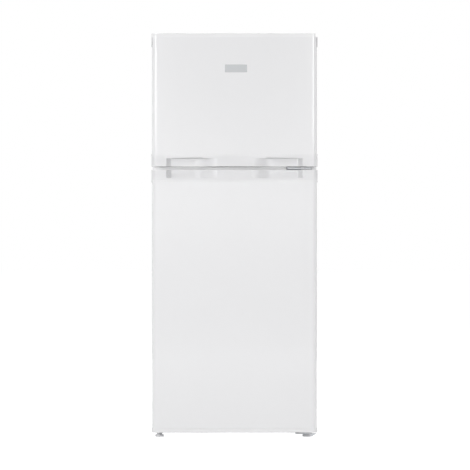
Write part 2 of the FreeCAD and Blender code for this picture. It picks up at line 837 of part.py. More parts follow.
def bush(name, low, flange_low):
    """A plain plastic bush with a flange, for a hinge pin."""
    return cut(
        name,
        fuse(f"{name}_outer",
             rod(f"{name}_sleeve", "bush_radius", "bush_length", ("axis_x", "axis_y", low)),
             rod(f"{name}_flange", "bush_flange", "bush_rim", ("axis_x", "axis_y", flange_low))),
        rod(f"{name}_bore", "pin_radius + running_gap", "bush_length + 2 * bush_rim + 2",
            ("axis_x", "axis_y", f"{low} - bush_rim - 1")))


def bush_hole(name, low):
    """The hole that takes a bush."""
    return rod(name, "bush_radius", "bush_length", ("axis_x", "axis_y", low))


def fridge_door():
    """The large lower door."""
    low, high = "fridge_door_low", "fridge_door_high"
    body_z = f"{low} + cap_height", f"{high} - grip_height"
    rim_z = "fridge_rim_low", "fridge_rim_high"
    foam, sheet, rim, core = door_filling("fridge_door", body_z, rim_z)
    ribs = [rib for name in ("bottle_bin", "middle_bin", "upper_bin")
            for rib in bin_ribs(f"{name}_rib", f"{name}_low")]
    bar, tools = door_grip("fridge_door_grip", (f"{high} - grip_height", high),
                           (f"{high} - scoop_height", f"{high} + 1"),
                           (f"{high} - scoop_height - finger_rise", f"{high} - scoop_height + 1"))
    top_bush = bush("fridge_door_top_bush", f"{high} - bush_length", high)
    low_bush = bush("fridge_door_low_bush", low, f"{low} - bush_rim")
    hole = bush_hole("fridge_grip_hole", f"{high} - bush_length")
    foot = bush_hole("fridge_cap_hole", low)
    cap = slab("fridge_cap_bar", across("half_width"), ("door_front", "door_rear"),
               (low, f"{low} + cap_height"), "front_round + door_lip", "rear_round + door_lip")
    return [
        door_skin("fridge_door_skin", body_z),
        cut("fridge_door_foam", foam, bush_hole("fridge_foam_hole", low)),
        fuse("fridge_door_liner", cut("fridge_liner_formed", fuse("fridge_liner_rim", sheet, rim), core),
             *ribs),
        cut("fridge_door_grip", bar, hole, *tools),
        cut("fridge_door_cap", cap, foot),
        door_gasket("fridge_door_gasket", (f"{low} + gasket_inset_floor", f"{high} - gasket_inset")),
        group("fridge_door_bushes", [top_bush, low_bush]),
        door_bin("bottle_bin", "bin_depth", "bottle_bin_low", "bottle_bin_height"),
        group("door_bins", [door_bin("middle_bin", "bin_depth", "middle_bin_low", "small_bin_height"),
                            door_bin("upper_bin", "bin_depth", "upper_bin_low", "small_bin_height")])]


def freezer_door():
    """The small upper door, with the plate on its front."""
    low, high = "freezer_door_low", "freezer_door_high"
    body_z = f"{low} + grip_height", f"{high} - cap_height"
    rim_z = "freezer_rim_low", "freezer_rim_high"
    foam, sheet, rim, core = door_filling("freezer_door", body_z, rim_z)
    ribs = bin_ribs("lower_rack_rib", "lower_rack_low") + bin_ribs("upper_rack_rib", "upper_rack_low")
    bar, tools = door_grip("freezer_door_grip", (low, f"{low} + grip_height"),
                           (f"{low} - 1", f"{low} + scoop_height"),
                           (f"{low} + scoop_height - 1", f"{low} + scoop_height + finger_rise"))
    low_bush = bush("freezer_door_low_bush", low, f"{low} - bush_rim")
    hole = bush_hole("freezer_grip_hole", low)
    return [
        door_skin("freezer_door_skin", body_z),
        named(foam, "freezer_door_foam"),
        fuse("freezer_door_liner",
             cut("freezer_liner_formed", fuse("freezer_liner_rim", sheet, rim), core), *ribs),
        cut("freezer_door_grip", bar, hole, *tools),
        freezer_cap(),
        door_gasket("freezer_door_gasket", (f"{low} + gasket_inset", f"{high} - gasket_inset_top")),
        group("freezer_door_bushes", [low_bush, top_bush()]),
        group("freezer_racks", [door_bin("lower_rack", "rack_depth", "lower_rack_low", "rack_height"),
                                door_bin("upper_rack", "rack_depth", "upper_rack_low", "rack_height")]),
        badge()]


def freezer_cap():
    """The top end of the freezer door, with side ears and the notch for the hinge arm."""
    high = "freezer_door_high"
    bar = slab("freezer_cap_bar", across("half_width"), ("door_front", "door_rear"),
               (f"{high} - cap_height - ear_height", high),
               "front_round + door_lip", "rear_round + door_lip")
    below = slab("freezer_cap_below", across("skin_half"), ("door_front - 1", "door_rear + 1"),
                 (f"{high} - cap_height - ear_height - 1", f"{high} - cap_height"))
    notch = block("hinge_notch", ("axis_x - arm_half - 4", "half_width + 1"),
                  ("door_front + pocket_wall", "door_rear + 1"), (f"{high} - pocket_depth", f"{high} + 1"))
    hole = rod("freezer_cap_hole", "bush_radius", "pocket_depth",
               ("axis_x", "axis_y", f"{high} - pocket_depth - pocket_wall"))
    return cut("freezer_door_cap", bar, below, notch, hole)


def top_bush():
    """The thin bush under the hinge arm, in the floor of the notch."""
    floor = "freezer_door_high - pocket_depth"
    return cut("freezer_door_top_bush",
               rod("top_bush_sleeve", "bush_radius", "pocket_wall",
                   ("axis_x", "axis_y", f"{floor} - pocket_wall")),
               rod("top_bush_bore", "pin_radius + running_gap", "pocket_wall + 2",
                   ("axis_x", "axis_y", f"{floor} - pocket_wall - 1")))


def badge():
    """A plain plate, high on the freezer door."""
    middle = "freezer_door_high - badge_drop"
    left, right = "badge_side - badge_width / 2", "badge_side + badge_width / 2"
    low, high = f"{middle} - badge_height / 2", f"{middle} + badge_height / 2"
    return prism("badge_plate", "XZ", [(left, low), (right, low), (right, high), (left, high)],
                 ("door_front - badge_thickness", "door_front"), [("badge_round", (0, 1, 2, 3))])


# Hinges

def screw(name, x, y, z, way="z"):
    """A screw whose head stands on a plate and whose shank passes through it."""
    if way == "z":
        shank = rod(f"{name}_shank", "screw_shank", "plate", (x, y, z))
        head = rod(f"{name}_head", "screw_head", "screw_rise", (x, y, f"{z} + plate"))
    else:
        shank = rod(f"{name}_shank", "screw_shank", "plate", (x, f"{y} - plate", z), "y")
        head = rod(f"{name}_head", "screw_head", "screw_rise", (x, f"{y} - plate - screw_rise", z), "y")
    return fuse(name, shank, head)


def screws_and_holes(name, spots, way="z"):
    """Screws at some spots, and the holes in the plate that they pass through."""
    screws = [screw(f"{name}_screw_{n}", *spot, way) for n, spot in enumerate(spots)]
    holes = []
    for n, (x, y, z) in enumerate(spots):
        start = (x, y, z) if way == "z" else (x, f"{y} - plate", z)
        holes.append(rod(f"{name}_hole_{n}", "screw_shank + running_gap", "plate", start, way))
    return screws, holes


def top_hinge():
    """The arm on the cabinet top whose pin points down into the freezer door, and its cover."""
    low, high = "cabinet_top", "cabinet_top + plate"
    leaf_x = "axis_x - top_leaf_side", "axis_x + top_leaf_out"
    leaf_y = "cabinet_front + top_leaf_setback", "cabinet_front + top_leaf_setback + top_leaf_depth"
    leaf = slab("top_hinge_leaf", leaf_x, leaf_y, (low, high), "bush_radius", "bush_radius")
    arm = block("top_hinge_arm", ("axis_x - arm_half", "axis_x + arm_half"),
                ("axis_y", f"{leaf_y[0]} + 2"), (low, high))
    eye = rod("top_hinge_eye", "arm_half", "plate", ("axis_x", "axis_y", low))
    pin_low = "freezer_door_high - pocket_depth - pocket_wall"
    pin = rod("top_hinge_pin", "pin_radius", f"cabinet_top + 1 - ({pin_low})",
              ("axis_x", "axis_y", pin_low))
    middle = "cabinet_front + top_leaf_setback + top_leaf_depth / 2"
    screws, holes = screws_and_holes("top_hinge", [
        (f"{leaf_x[0]} + screw_inset", middle, low), (f"{leaf_x[1]} - screw_inset", middle, low)])
    hinge = cut("top_hinge", fuse("top_hinge_steel", leaf, arm, eye, pin), *holes)
    cover_x = f"{leaf_x[0]} - cover_margin", f"{leaf_x[1]} + cover_margin"
    cover_y = "cabinet_front + 2", f"{leaf_y[1]} + cover_margin"
    inner_x = f"{cover_x[0]} + cover_wall", f"{cover_x[1]} - cover_wall"
    inner_y = f"{cover_y[0]} + cover_wall", f"{cover_y[1]} - cover_wall"
    cover = cut(
        "top_hinge_cover",
        slab("hinge_cover_outer", cover_x, cover_y, (low, "overall_height"),
             "cover_margin", "cover_margin"),
        slab("hinge_cover_inner", inner_x, inner_y, (f"{low} - 1", "overall_height - cover_wall"),
             "cover_margin - cover_wall", "cover_margin - cover_wall"),
        block("hinge_cover_mouth", ("axis_x - arm_half - 1", "axis_x + arm_half + 1"),
              ("cabinet_front", f"{leaf_y[0]}"), (f"{low} - 1", f"{high} + 1")))
    return hinge, cover, screws


def middle_hinge():
    """The plate in the gap between the doors, with a pin each way."""
    low, high = "gap_middle - plate / 2", "gap_middle + plate / 2"
    right = "axis_x + arm_half + 1"
    leaf = slab("middle_hinge_leaf", (f"{right} - middle_leaf_width", right),
                ("axis_y - arm_half", "cabinet_front"), (low, high), "leaf_round")
    tab_x = f"{right} - middle_leaf_width", "axis_x - tab_clearance"
    tab = block("middle_hinge_tab", tab_x, ("cabinet_front - plate", "cabinet_front"),
                ("fridge_door_high - gasket_inset + 2", "freezer_door_low + gasket_inset - 2"))
    pins = rod("middle_hinge_pins", "pin_radius", "plate + 2 * pin_reach",
               ("axis_x", "axis_y", f"{low} - pin_reach"))
    height = f"({high} + freezer_door_low + gasket_inset - 2) / 2"
    screws, holes = screws_and_holes("middle_hinge", [
        (f"{tab_x[0]} + screw_inset", "cabinet_front", height),
        (f"{tab_x[1]} - screw_inset", "cabinet_front", height)], "y")
    return cut("middle_hinge", fuse("middle_hinge_steel", leaf, tab, pins), *holes), screws


def foot_bracket(name, x, front, foot_x):
    """A folded bracket under the cabinet, with the threaded boss of a levelling foot."""
    riser = "cabinet_front + riser_setback"
    rear = "cabinet_front + bracket_rear"
    bracket = prism(f"{name}_fold", "YZ", [
        (front, "bottom_leaf"),
        (f"{riser} + plate", "bottom_leaf"),
        (f"{riser} + plate", "cabinet_base - plate"),
        (rear, "cabinet_base - plate"),
        (rear, "cabinet_base"),
        (riser, "cabinet_base"),
        (riser, "bottom_leaf + plate"),
        (front, "bottom_leaf + plate")], x)
    at = foot_x, "cabinet_front + foot_setback"
    boss = rod(f"{name}_boss", "boss_radius", "boss_height", (*at, "cabinet_base - boss_height"))
    bore = rod(f"{name}_bore", "stud_radius + running_gap", "boss_height + 1",
               (*at, "cabinet_base - boss_height - 1"))
    return fuse(f"{name}_steel", bracket, boss), bore


def bottom_hinge():
    """The bracket under the right front corner: foot boss, door pin and its guard."""
    right = "axis_x + arm_half + 1"
    steel, bore = foot_bracket("bottom_hinge", (f"{right} - bottom_leaf_width", right),
                               "axis_y - arm_half", "right_foot_side")
    pin = rod("bottom_hinge_pin", "pin_radius", "floor_gap - bottom_leaf + pin_reach",
              ("axis_x", "axis_y", "bottom_leaf"))
    guard = prism("bottom_hinge_guard", "XZ", [
        (f"{right} - 2 * plate", "bottom_leaf"),
        (f"{right} - plate", "bottom_leaf - guard_drop"),
        ("half_width - door_lip", "bottom_leaf + plate"),
        (f"{right} - 2 * plate", "bottom_leaf + plate")], ("axis_y - arm_half", "axis_y - arm_half + plate"))
    return cut("bottom_hinge", fuse("bottom_hinge_whole", steel, pin, guard), bore)


def hinges():
    """The three hinges, their screws and the bracket of the left front foot."""
    top, cover, top_screws = top_hinge()
    middle, middle_screws = middle_hinge()
    left_x = "-left_foot_side - foot_radius", "-left_foot_side - foot_radius + foot_leaf_width"
    steel, bore = foot_bracket("left_foot_bracket", left_x, "cabinet_front", "-left_foot_side")
    return [top, cover, middle, bottom_hinge(), cut("foot_bracket", steel, bore),
            group("hinge_screws", top_screws + middle_screws)]


# Feet

def levelling_foot(name, x):
    """A foot with a round pad and a threaded stud."""
    at = x, "cabinet_front + foot_setback"
    return fuse(
        name,
        rod(f"{name}_pad", "foot_radius", "foot_pad", (*at, "0")),
        rod(f"{name}_neck", "boss_radius", "foot_neck", (*at, "foot_pad")),
        rod(f"{name}_stud", "stud_radius", "cabinet_base - foot_pad - fit_gap", (*at, "foot_pad")))


def feet():
    """Two levelling feet in front and two plain feet under the rail."""
    rear = [rod(f"rear_foot_{n}", "rear_foot_radius", "cabinet_base", (x, "rail_middle", "0"))
            for n, x in enumerate(across("rear_foot_side"))]
    return [
        levelling_foot("front_foot_left", "-left_foot_side"),
        levelling_foot("front_foot_right", "right_foot_side"),
        group("rear_feet", rear)]


# Compressor recess and condenser

def compressor():
    """The sealed can on its mounting plate, the grommets and the rail they stand on."""
    side = "cabinet_half - sheet"
    rail = prism("compressor_rail", "XZ", [
        (f"-({side})", "cabinet_base"), (side, "cabinet_base"),
        (side, "rail_floor + rail_lift"), (f"{side} - rail_sheet", "rail_floor + rail_lift"),
        (f"{side} - rail_sheet", "rail_floor"), (f"rail_sheet - ({side})", "rail_floor"),
        (f"rail_sheet - ({side})", "rail_floor + rail_lift"),
        (f"-({side})", "rail_floor + rail_lift")], ("rail_rear - rail_depth", "rail_rear"))
    grommets = [rod(f"grommet_{n}", "grommet_radius", "grommet_height",
                    (f"compressor_side + {x} * (mount_plate_width / 2 - grommet_inset)",
                     f"rail_middle + {y} * (mount_plate_depth / 2 - grommet_inset)", "rail_floor"))
                for n, (x, y) in enumerate(((-1, -1), (1, -1), (1, 1), (-1, 1)))]
    plate = slab("compressor_plate",
                 ("compressor_side - mount_plate_width / 2", "compressor_side + mount_plate_width / 2"),
                 ("rail_middle - mount_plate_depth / 2", "rail_middle + mount_plate_depth / 2"),
                 ("compressor_foot", "compressor_foot + plate"), "mount_plate_round", "mount_plate_round")
    at = "compressor_side", "rail_middle"
    base = "compressor_foot + plate"
    can = document.addObject("Part::Cylinder", "compressor_can")
    bind(can, Radius="compressor_radius", Height="compressor_height", Placement__Base__x=at[0],
         Placement__Base__y=at[1], Placement__Base__z=base)
    document.recompute()
    rim_edges = [n for n, edge in enumerate(can.Shape.Edges, 1) if edge.Closed]
    dome = document.addObject("Part::Fillet", "compressor_dome")
    dome.Base = can
    dome_radius = size("compressor_radius") * 0.4
    dome.Edges = [(n, dome_radius, dome_radius) for n in rim_edges]
    band = rod("compressor_seam", "compressor_radius + seam_reach", "seam_height",
               (*at, f"{base} + seam_rise"))
    stub_z = "compressor_foot + stub_rise"
    stubs = [
        rod("discharge_stub", "pipe_radius + 2", "compressor_radius + stub_reach", (*at, stub_z), "x"),
        rod("suction_stub", "pipe_radius + 2", "compressor_radius + stub_reach",
            (at[0], f"{at[1]} - compressor_radius - stub_reach", stub_z), "y")]
    return [rail, group("compressor_grommets", grommets),
            fuse("compressor", plate, dome, band, *stubs)]


def terminal_box():
    """The electrical box on the side of the can, and the gland its lead leaves through."""
    left = "compressor_side - compressor_radius - terminal_width"
    y = "rail_middle - terminal_half", "rail_middle + terminal_half"
    low = "compressor_foot + plate + terminal_rise"
    box = cut(
        "terminal_box",
        slab("terminal_outer", (left, "compressor_side - compressor_radius / 2"), y,
             (low, f"{low} + terminal_height"), "terminal_round", "terminal_round"),
        rod("terminal_can_side", "compressor_radius + seam_reach + fit_gap", "terminal_height + 2",
            ("compressor_side", "rail_middle", f"{low} - 1")))
    gland_at = f"{left} + terminal_width / 2", f"{low} + terminal_height / 2"
    gland = cut(
        "cable_gland",
        rod("gland_outer", "gland_radius", "gland_length", (gland_at[0], y[1], gland_at[1]), "y"),
        rod("gland_hole", "gland_bore", "gland_length + 2", (gland_at[0], f"{y[1]} - 1", gland_at[1]), "y"))
    return [box, gland]


def drip_tray():
    """The tray on the compressor that catches the melt water."""
    low = "compressor_foot + plate + compressor_height"
    return [tray("drip_tray", ("compressor_side - tray_half", "compressor_side + tray_half"),
                 ("rail_middle - tray_depth / 2", "rail_middle + tray_depth / 2"),
                 (low, f"{low} + tray_height"), "tray_wall", "tray_round")]


def pipes():
    """The pipes of the cooling circuit between the compressor, the condenser and the roof."""
    radius, bend = size("pipe_radius"), size("pipe_bend")
    middle, plane = size("rail_middle"), size("condenser_plane")
    side, roof = size("compressor_side"), size("recess_roof")
    stub = size("compressor_radius") + size("stub_reach")
    height = size("compressor_foot") + size("stub_rise")
    half = size("condenser_half")
    discharge = pipe("discharge_pipe", [
        Vector(side + stub, middle, height), Vector(half, middle, height),
        Vector(half, plane, height), Vector(half, plane, size("condenser_inlet"))], radius, bend)
    beside = size("recess_front") + size("pipe_offset")
    away = side - size("suction_side")
    suction = pipe("suction_pipe", [
        Vector(side, middle - stub, height), Vector(side, beside, height),
        Vector(away, beside, height), Vector(away, beside, roof)], radius, size("suction_bend"))
    drier = fuse(
        "filter_drier",
        rod("filter_drier_can", "drier_radius", "drier_length",
            ("drier_x", "rail_rear", "drier_top - drier_length")),
        rod("filter_drier_stub", "pipe_radius", "drier_stub", ("drier_x", "rail_rear", "drier_top")))
    return [discharge, suction, drier]


def condenser():
    """The serpentine tube on the back, its cross wires and the brackets that hold it."""
    half, low, pitch = size("condenser_half"), size("condenser_low"), size("condenser_pitch")
    plane, top = size("condenser_plane"), size("cabinet_top")
    runs = 2 * int((top - size("condenser_top_gap") - low) // pitch // 2) + 1
    points = [Vector(half, plane, size("condenser_inlet"))]
    for n in range(runs):
        side = half if n % 2 == 0 else -half
        points.append(Vector(side, plane, low + n * pitch))
        points.append(Vector(-side, plane, low + n * pitch))
    outside = -half - size("return_offset")
    points[-1].x = outside
    drier_x, rear, stub_top = size("drier_x"), size("rail_rear"), size("drier_top") + size("drier_stub")
    drop = size("drier_top") + size("outlet_rise")
    points.append(Vector(outside, plane, drop))
    points.append(Vector(drier_x, rear, drop))
    points.append(Vector(drier_x, rear, stub_top))
    tube = pipe("condenser_tube", points, size("condenser_radius"), size("condenser_bend"))
    height = f"{runs - 1} * condenser_pitch + 2 * wire_end"
    count = int(2 * (half - size("wire_margin")) // size("cross_wire_pitch"))
    wires = [rod(f"cross_wire_{n}", "cross_wire", height,
                 (f"cross_wire_pitch * {n - (count - 1) / 2}",
                  "condenser_plane + condenser_radius + cross_wire_gap + cross_wire", "condenser_low - wire_end"))
             for n in range(count)]
    brackets = []
    for row in (1, runs - 2):
        for n, x in enumerate(across("condenser_half - bracket_inset")):
            middle = f"condenser_low + condenser_pitch * {row}"
            brackets.append(block(f"condenser_bracket_{row}_{n}",
                                  (f"{x} - bracket_width / 2", f"{x} + bracket_width / 2"),
                                  ("cabinet_rear", "condenser_plane - condenser_radius"),
                                  (f"{middle} - bracket_width / 2", f"{middle} + bracket_width / 2")))
    return [tube, group("condenser_wires", wires), group("condenser_brackets", brackets)]


def check(parts):
    """Stop if any object failed, or if a sub-part's shape is missing or not valid."""
    for item in document.Objects:
        if "Invalid" in item.State or "Error" in item.State:
            raise RuntimeError(f"{item.Label} failed: {item.State}")
    for item in parts:
        if item.Shape.isNull() or not item.Shape.isValid() or not item.Shape.Solids:
            raise RuntimeError(f"{item.Label} has no valid solid")


def build():
    """Build every sub-part and write each one to its own file."""
    parts = (cabinet_panels() + cabinet_walls() + evaporator() + shelves() + crisper()
             + light_and_thermostat() + fridge_door() + freezer_door() + hinges() + feet()
             + compressor() + terminal_box() + drip_tray() + pipes() + condenser())
    document.recompute()
    check(parts)
    os.makedirs("parts", exist_ok=True)
    for item in parts:
        item.Shape.exportStep(os.path.join("parts", f"{item.Label}.step"))
        box = item.Shape.BoundBox
        print(f"{item.Label:24s} {len(item.Shape.Solids):3d} solids "
              f"{box.XLength:8.1f} {box.YLength:8.1f} {box.ZLength:8.1f}")
    print(len(parts), "nodes")


build()
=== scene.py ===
# %% [markdown]
# # A refrigerator with its freezer on top
# This lesson dresses a measured model of a small two-door refrigerator. The measured solids arrive as a
# fixed frame. Each visible piece is then copied or modelled again with rounder edges, and gets a finish.
# Starting from measured solids keeps every door, hinge and shelf at its true place.

# %% Load the measured frame
import json
from math import cos, pi, radians, sin

import bpy
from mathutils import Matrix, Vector


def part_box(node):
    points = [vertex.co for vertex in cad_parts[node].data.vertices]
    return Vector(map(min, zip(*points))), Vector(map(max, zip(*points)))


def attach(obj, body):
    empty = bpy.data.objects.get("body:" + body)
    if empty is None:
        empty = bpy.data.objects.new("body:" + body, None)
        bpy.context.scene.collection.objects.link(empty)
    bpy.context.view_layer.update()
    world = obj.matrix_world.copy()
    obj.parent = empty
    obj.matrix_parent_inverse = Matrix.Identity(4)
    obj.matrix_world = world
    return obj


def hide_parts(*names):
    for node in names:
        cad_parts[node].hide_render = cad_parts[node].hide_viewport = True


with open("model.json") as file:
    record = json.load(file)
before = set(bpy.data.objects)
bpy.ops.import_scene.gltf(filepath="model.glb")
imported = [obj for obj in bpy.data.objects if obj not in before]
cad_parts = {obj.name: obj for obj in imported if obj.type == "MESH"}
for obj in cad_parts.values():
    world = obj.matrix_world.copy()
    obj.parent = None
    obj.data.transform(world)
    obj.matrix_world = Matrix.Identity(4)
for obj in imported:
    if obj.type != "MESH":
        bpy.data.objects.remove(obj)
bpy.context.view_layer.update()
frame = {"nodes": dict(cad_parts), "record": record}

nodes = frame["nodes"]
MM = 0.001

# %% [markdown]
# ## Where things belong
# The record that comes with the frame says which body each solid moves with and which finish it takes.
# Two small tables turn that round, so a new piece can ask for its own body and finish by name.

# %% Tables of bodies and finishes
record = frame["record"]
BODY_OF = {node: body for body, members in record["behaviour"]["bodies"].items() for node in members}
SLOT_OF = {part["node"]: part["material_slot"] for part in record["subparts"]}

# %% [markdown]
# ## Selecting by place
# By hand one clicks on faces and edges. In a script they are found by where they lie and which way they
# face. Everything is deselected first, because an operator acts on all that is selected. A direction that
# has a share of ALONG of an axis counts as lying along it, and NEAR is how close counts as the same place.

# %% Helpers that select
def alone(piece):
    """Select one object and nothing else."""
    if bpy.context.object and bpy.context.object.mode != "OBJECT":
        bpy.ops.object.mode_set(mode="OBJECT")
    bpy.ops.object.select_all(action="DESELECT")
    piece.select_set(True)
    bpy.context.view_layer.objects.active = piece
    return piece


PARTS = {"faces": ("FACE", "polygons"), "edges": ("EDGE", "edges"), "corners": ("VERT", "vertices")}
ALONG, NEAR = 0.99, 0.1 * MM


def pick(piece, kind, wanted):
    """Enter edit mode with only the wanted faces, edges or corners selected."""
    mode, group = PARTS[kind]
    alone(piece)
    bpy.ops.object.mode_set(mode="EDIT")
    bpy.ops.mesh.select_mode(type=mode)
    bpy.ops.mesh.select_all(action="DESELECT")
    bpy.ops.object.mode_set(mode="OBJECT")
    for part in getattr(piece.data, group):
        part.select = bool(wanted(part))
    bpy.ops.object.mode_set(mode="EDIT")


def out(piece):
    """Leave edit mode."""
    bpy.ops.object.mode_set(mode="OBJECT")
    return piece


print("picks", ", ".join(PARTS))

# %% [markdown]
# ## How two faces meet
# An edge is rounded by how it looks: the proud edges of a sheet get a small round, and the hollow corners
# inside a moulded box get a large one. So each edge is described by its middle, its direction, the angle
# that its faces turn through, and whether it is hollow.

# %% Helpers that describe and round edges
class Join:
    """An edge between two faces."""

    def __init__(self, mesh, edge, faces):
        start, end = (mesh.vertices[v].co for v in edge.vertices)
        self.index, self.length = edge.index, (end - start).length
        self.middle = (start + end) / 2
        self.along = (end - start).normalized()
        first, second = (face.normal for face in faces)
        self.turn = first.angle(second, 0)
        loop = list(faces[0].vertices)
        forward = loop[(loop.index(edge.vertices[0]) + 1) % len(loop)] == edge.vertices[1]
        side = first.cross(second).dot(self.along)
        self.hollow = (side if forward else -side) < 0


def joins(mesh):
    """Every edge of a mesh that has two faces."""
    beside = {}
    for face in mesh.polygons:
        for key in face.edge_keys:
            beside.setdefault(key, []).append(face)
    return [Join(mesh, edge, beside[edge.key]) for edge in mesh.edges if len(beside.get(edge.key, ())) == 2]


def round_edges(piece, width, wanted=lambda join: True, segments=2, sharper=25):
    """Round the wanted edges that turn by more than some degrees."""
    chosen = {join.index for join in joins(piece.data) if join.turn > radians(sharper) and wanted(join)}
    if chosen:
        pick(piece, "edges", lambda edge: edge.index in chosen)
        bpy.ops.mesh.bevel(offset=width, segments=segments, affect="EDGES", clamp_overlap=True)
        out(piece)
    return piece


print("edges are rounded where their faces turn by more than 25 degrees, unless a cell asks otherwise")

# %% [markdown]
# ## Starting shapes
# A new piece starts as a primitive at its size and place, or as a copy of a measured solid. A copied solid
# comes as loose triangles, so its corners are merged and its flat faces made whole before any edge is
# rounded. A whole face around an opening is a ring closed by a slit, and after a bevel such a ring can be
# filled with wrong triangles that cover the opening. So the copy is first cut across its three middles, the
# cuts are marked as seams, and faces are joined only up to them, which parts the rings of large openings.

# %% Helpers that start a piece
MERGE_WITHIN, FLAT_WITHIN = 0.01 * MM, radians(0.5)


def brick(name, low, high):
    """A cube stretched between two corners."""
    low, high = Vector(low), Vector(high)
    bpy.ops.object.select_all(action="DESELECT")
    bpy.ops.mesh.primitive_cube_add(size=1, location=(low + high) / 2)
    piece = bpy.context.object
    piece.name, piece.scale = name, high - low
    bpy.ops.object.transform_apply(location=True, rotation=True, scale=True)
    return piece


def copy_of(node):
    """A copy of a measured solid with merged corners and whole flat faces."""
    piece = bpy.data.objects.new(f"{node}_dressed", nodes[node].data.copy())
    bpy.context.collection.objects.link(piece)
    alone(piece)
    bpy.ops.object.mode_set(mode="EDIT")
    bpy.ops.mesh.select_mode(type="VERT")
    bpy.ops.mesh.select_all(action="SELECT")
    bpy.ops.mesh.remove_doubles(threshold=MERGE_WITHIN)
    bpy.ops.mesh.customdata_custom_splitnormals_clear()
    low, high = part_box(node)
    for normal in ((1, 0, 0), (0, 1, 0), (0, 0, 1)):
        bpy.ops.mesh.select_all(action="SELECT")
        bpy.ops.mesh.bisect(plane_co=(low + high) / 2, plane_no=normal)
        bpy.ops.mesh.mark_seam()
    bpy.ops.mesh.select_all(action="SELECT")
    bpy.ops.mesh.dissolve_limited(angle_limit=FLAT_WITHIN, delimit={"SEAM"})
    return out(piece)


def cut_loop(piece, place, normal):
    """Cut a loop of edges where a plane passes through a piece."""
    pick(piece, "faces", lambda face: True)
    bpy.ops.mesh.bisect(plane_co=place, plane_no=normal)
    return out(piece)


def modifier(piece, kind, **settings):
    """Add a modifier, set it and apply it."""
    alone(piece)
    added = piece.modifiers.new(kind.title(), kind)
    for name, value in settings.items():
        setattr(added, name, value)
    bpy.ops.object.modifier_apply(modifier=added.name)
    return piece


print("a piece starts as a brick or a copy")

# %% [markdown]
# ## Handing a piece over
# A finished piece sits at the origin with its place in its mesh. It gets smooth shading that keeps flat
# faces flat, one finish, the body that it rides on, and the measured solids that it stands for.

# %% Helpers that finish a piece
FINISHES = {}


def complete(piece, *replaced, like=None, smooth=40):
    """Shade a piece, give it its finish and hand it to its body."""
    model = like or replaced[0]
    alone(piece)
    bpy.ops.object.transform_apply(location=True, rotation=True, scale=True)
    bpy.ops.object.shade_smooth_by_angle(angle=radians(smooth))
    modifier(piece, "WEIGHTED_NORMAL", keep_sharp=True, weight=80)
    piece.data.materials.clear()
    piece.data.materials.append(FINISHES[SLOT_OF[model]])
    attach(piece, BODY_OF[model])
    if replaced:
        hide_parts(*replaced)
    print(piece.name, len(piece.data.polygons), "faces")
    return piece


print("a finished piece gets smooth shading, a finish and a body")

# %% [markdown]
# ## Shader maths written as sums
# A finish is a small network of nodes. Wrapping a socket in a class lets a sum such as 1 - mask add its
# Math nodes by itself, which reads far better than a page of links.

# %% Sums of sockets
class Amount:
    """A socket that adds Math nodes when it is used in a sum."""

    def __init__(self, recipe, socket):
        self.recipe, self.socket = recipe, socket

    def maths(self, operation, first, second):
        """Add one Math node."""
        return self.recipe.add("Math", {"operation": operation}, {0: first, 1: second})

    def __add__(self, other):
        return self.maths("ADD", self, other)

    def __sub__(self, other):
        return self.maths("SUBTRACT", self, other)

    def __rsub__(self, other):
        return self.maths("SUBTRACT", other, self)

    def __mul__(self, other):
        return self.maths("MULTIPLY", self, other)

    __radd__, __rmul__ = __add__, __mul__


print("sums add Math nodes")

# %% [markdown]
# ## Recipes for finishes
# Every finish has one principled shader and a few textures that vary it. They could be built node by node,
# but the same few steps return each time, so a class has a short method for each of them. Places come from
# object coordinates. They are the same as places in the room, because a finished piece sits at the origin.

# %% Recipes
class Recipe:
    """The nodes of one finish."""

    def __init__(self, name, **sockets):
        self.material = bpy.data.materials.new(name)
        self.material.use_nodes = True
        self.tree = self.material.node_tree
        self.tree.nodes.clear()
        self.shader = self.tree.nodes.new("ShaderNodeBsdfPrincipled")
        surface = self.tree.nodes.new("ShaderNodeOutputMaterial")
        self.tree.links.new(self.shader.outputs[0], surface.inputs["Surface"])
        self.place = self.add("TexCoord", output="Object")
        self.set(**sockets)
        FINISHES[name] = self.material

    def join(self, value, socket):
        """Link an amount to a socket, or write a plain value into it."""
        if isinstance(value, Amount):
            self.tree.links.new(value.socket, socket)
        else:
            socket.default_value = value

    def add(self, kind, settings=None, sockets=None, output=0):
        """Add a node: its settings first, then the values or links of its sockets."""
        node = self.tree.nodes.new("ShaderNode" + kind)
        for name, value in (settings or {}).items():
            setattr(node, name, value)
        for name, value in (sockets or {}).items():
            self.join(value, node.inputs[name])
        return Amount(self, node.outputs[output])

    def set(self, **sockets):
        """Fill sockets of the shader, each named with underscores for spaces."""
        for name, value in sockets.items():
            self.join(value, self.shader.inputs[name.replace("_", " ").title().replace("Ior", "IOR")])
        return self

    def noise(self, scale, detail=2.0, stretch=(1, 1, 1)):
        """Soft noise from 0 to 1, scaled in spots to the metre."""
        place = self.place
        if stretch != (1, 1, 1):
            place = self.add("Mapping", None, {"Vector": self.place, "Scale": stretch})
        return self.add("TexNoise", None, {"Vector": place, "Scale": scale, "Detail": detail})

    def cells(self, scale, output="Distance"):
        """Voronoi cells, scaled in cells to the metre."""
        return self.add("TexVoronoi", None, {"Vector": self.place, "Scale": scale}, output)

    def height(self):
        """The height above the floor, since finished pieces keep their place in their mesh."""
        return self.add("SeparateXYZ", None, {"Vector": self.place}, "Z")

    def between(self, factor, first, second):
        """A colour between two colours."""
        colours = {6: (*first, 1), 7: (*second, 1), 0: factor}
        return self.add("Mix", {"data_type": "RGBA"}, colours, 2)

    def bump(self, height, depth, strength=1.0):
        """Raise the surface by a height between 0 and 1 times a depth."""
        sockets = {"Height": height, "Distance": depth, "Strength": strength}
        return self.set(Normal=self.add("Bump", None, sockets))


print("recipes ready")

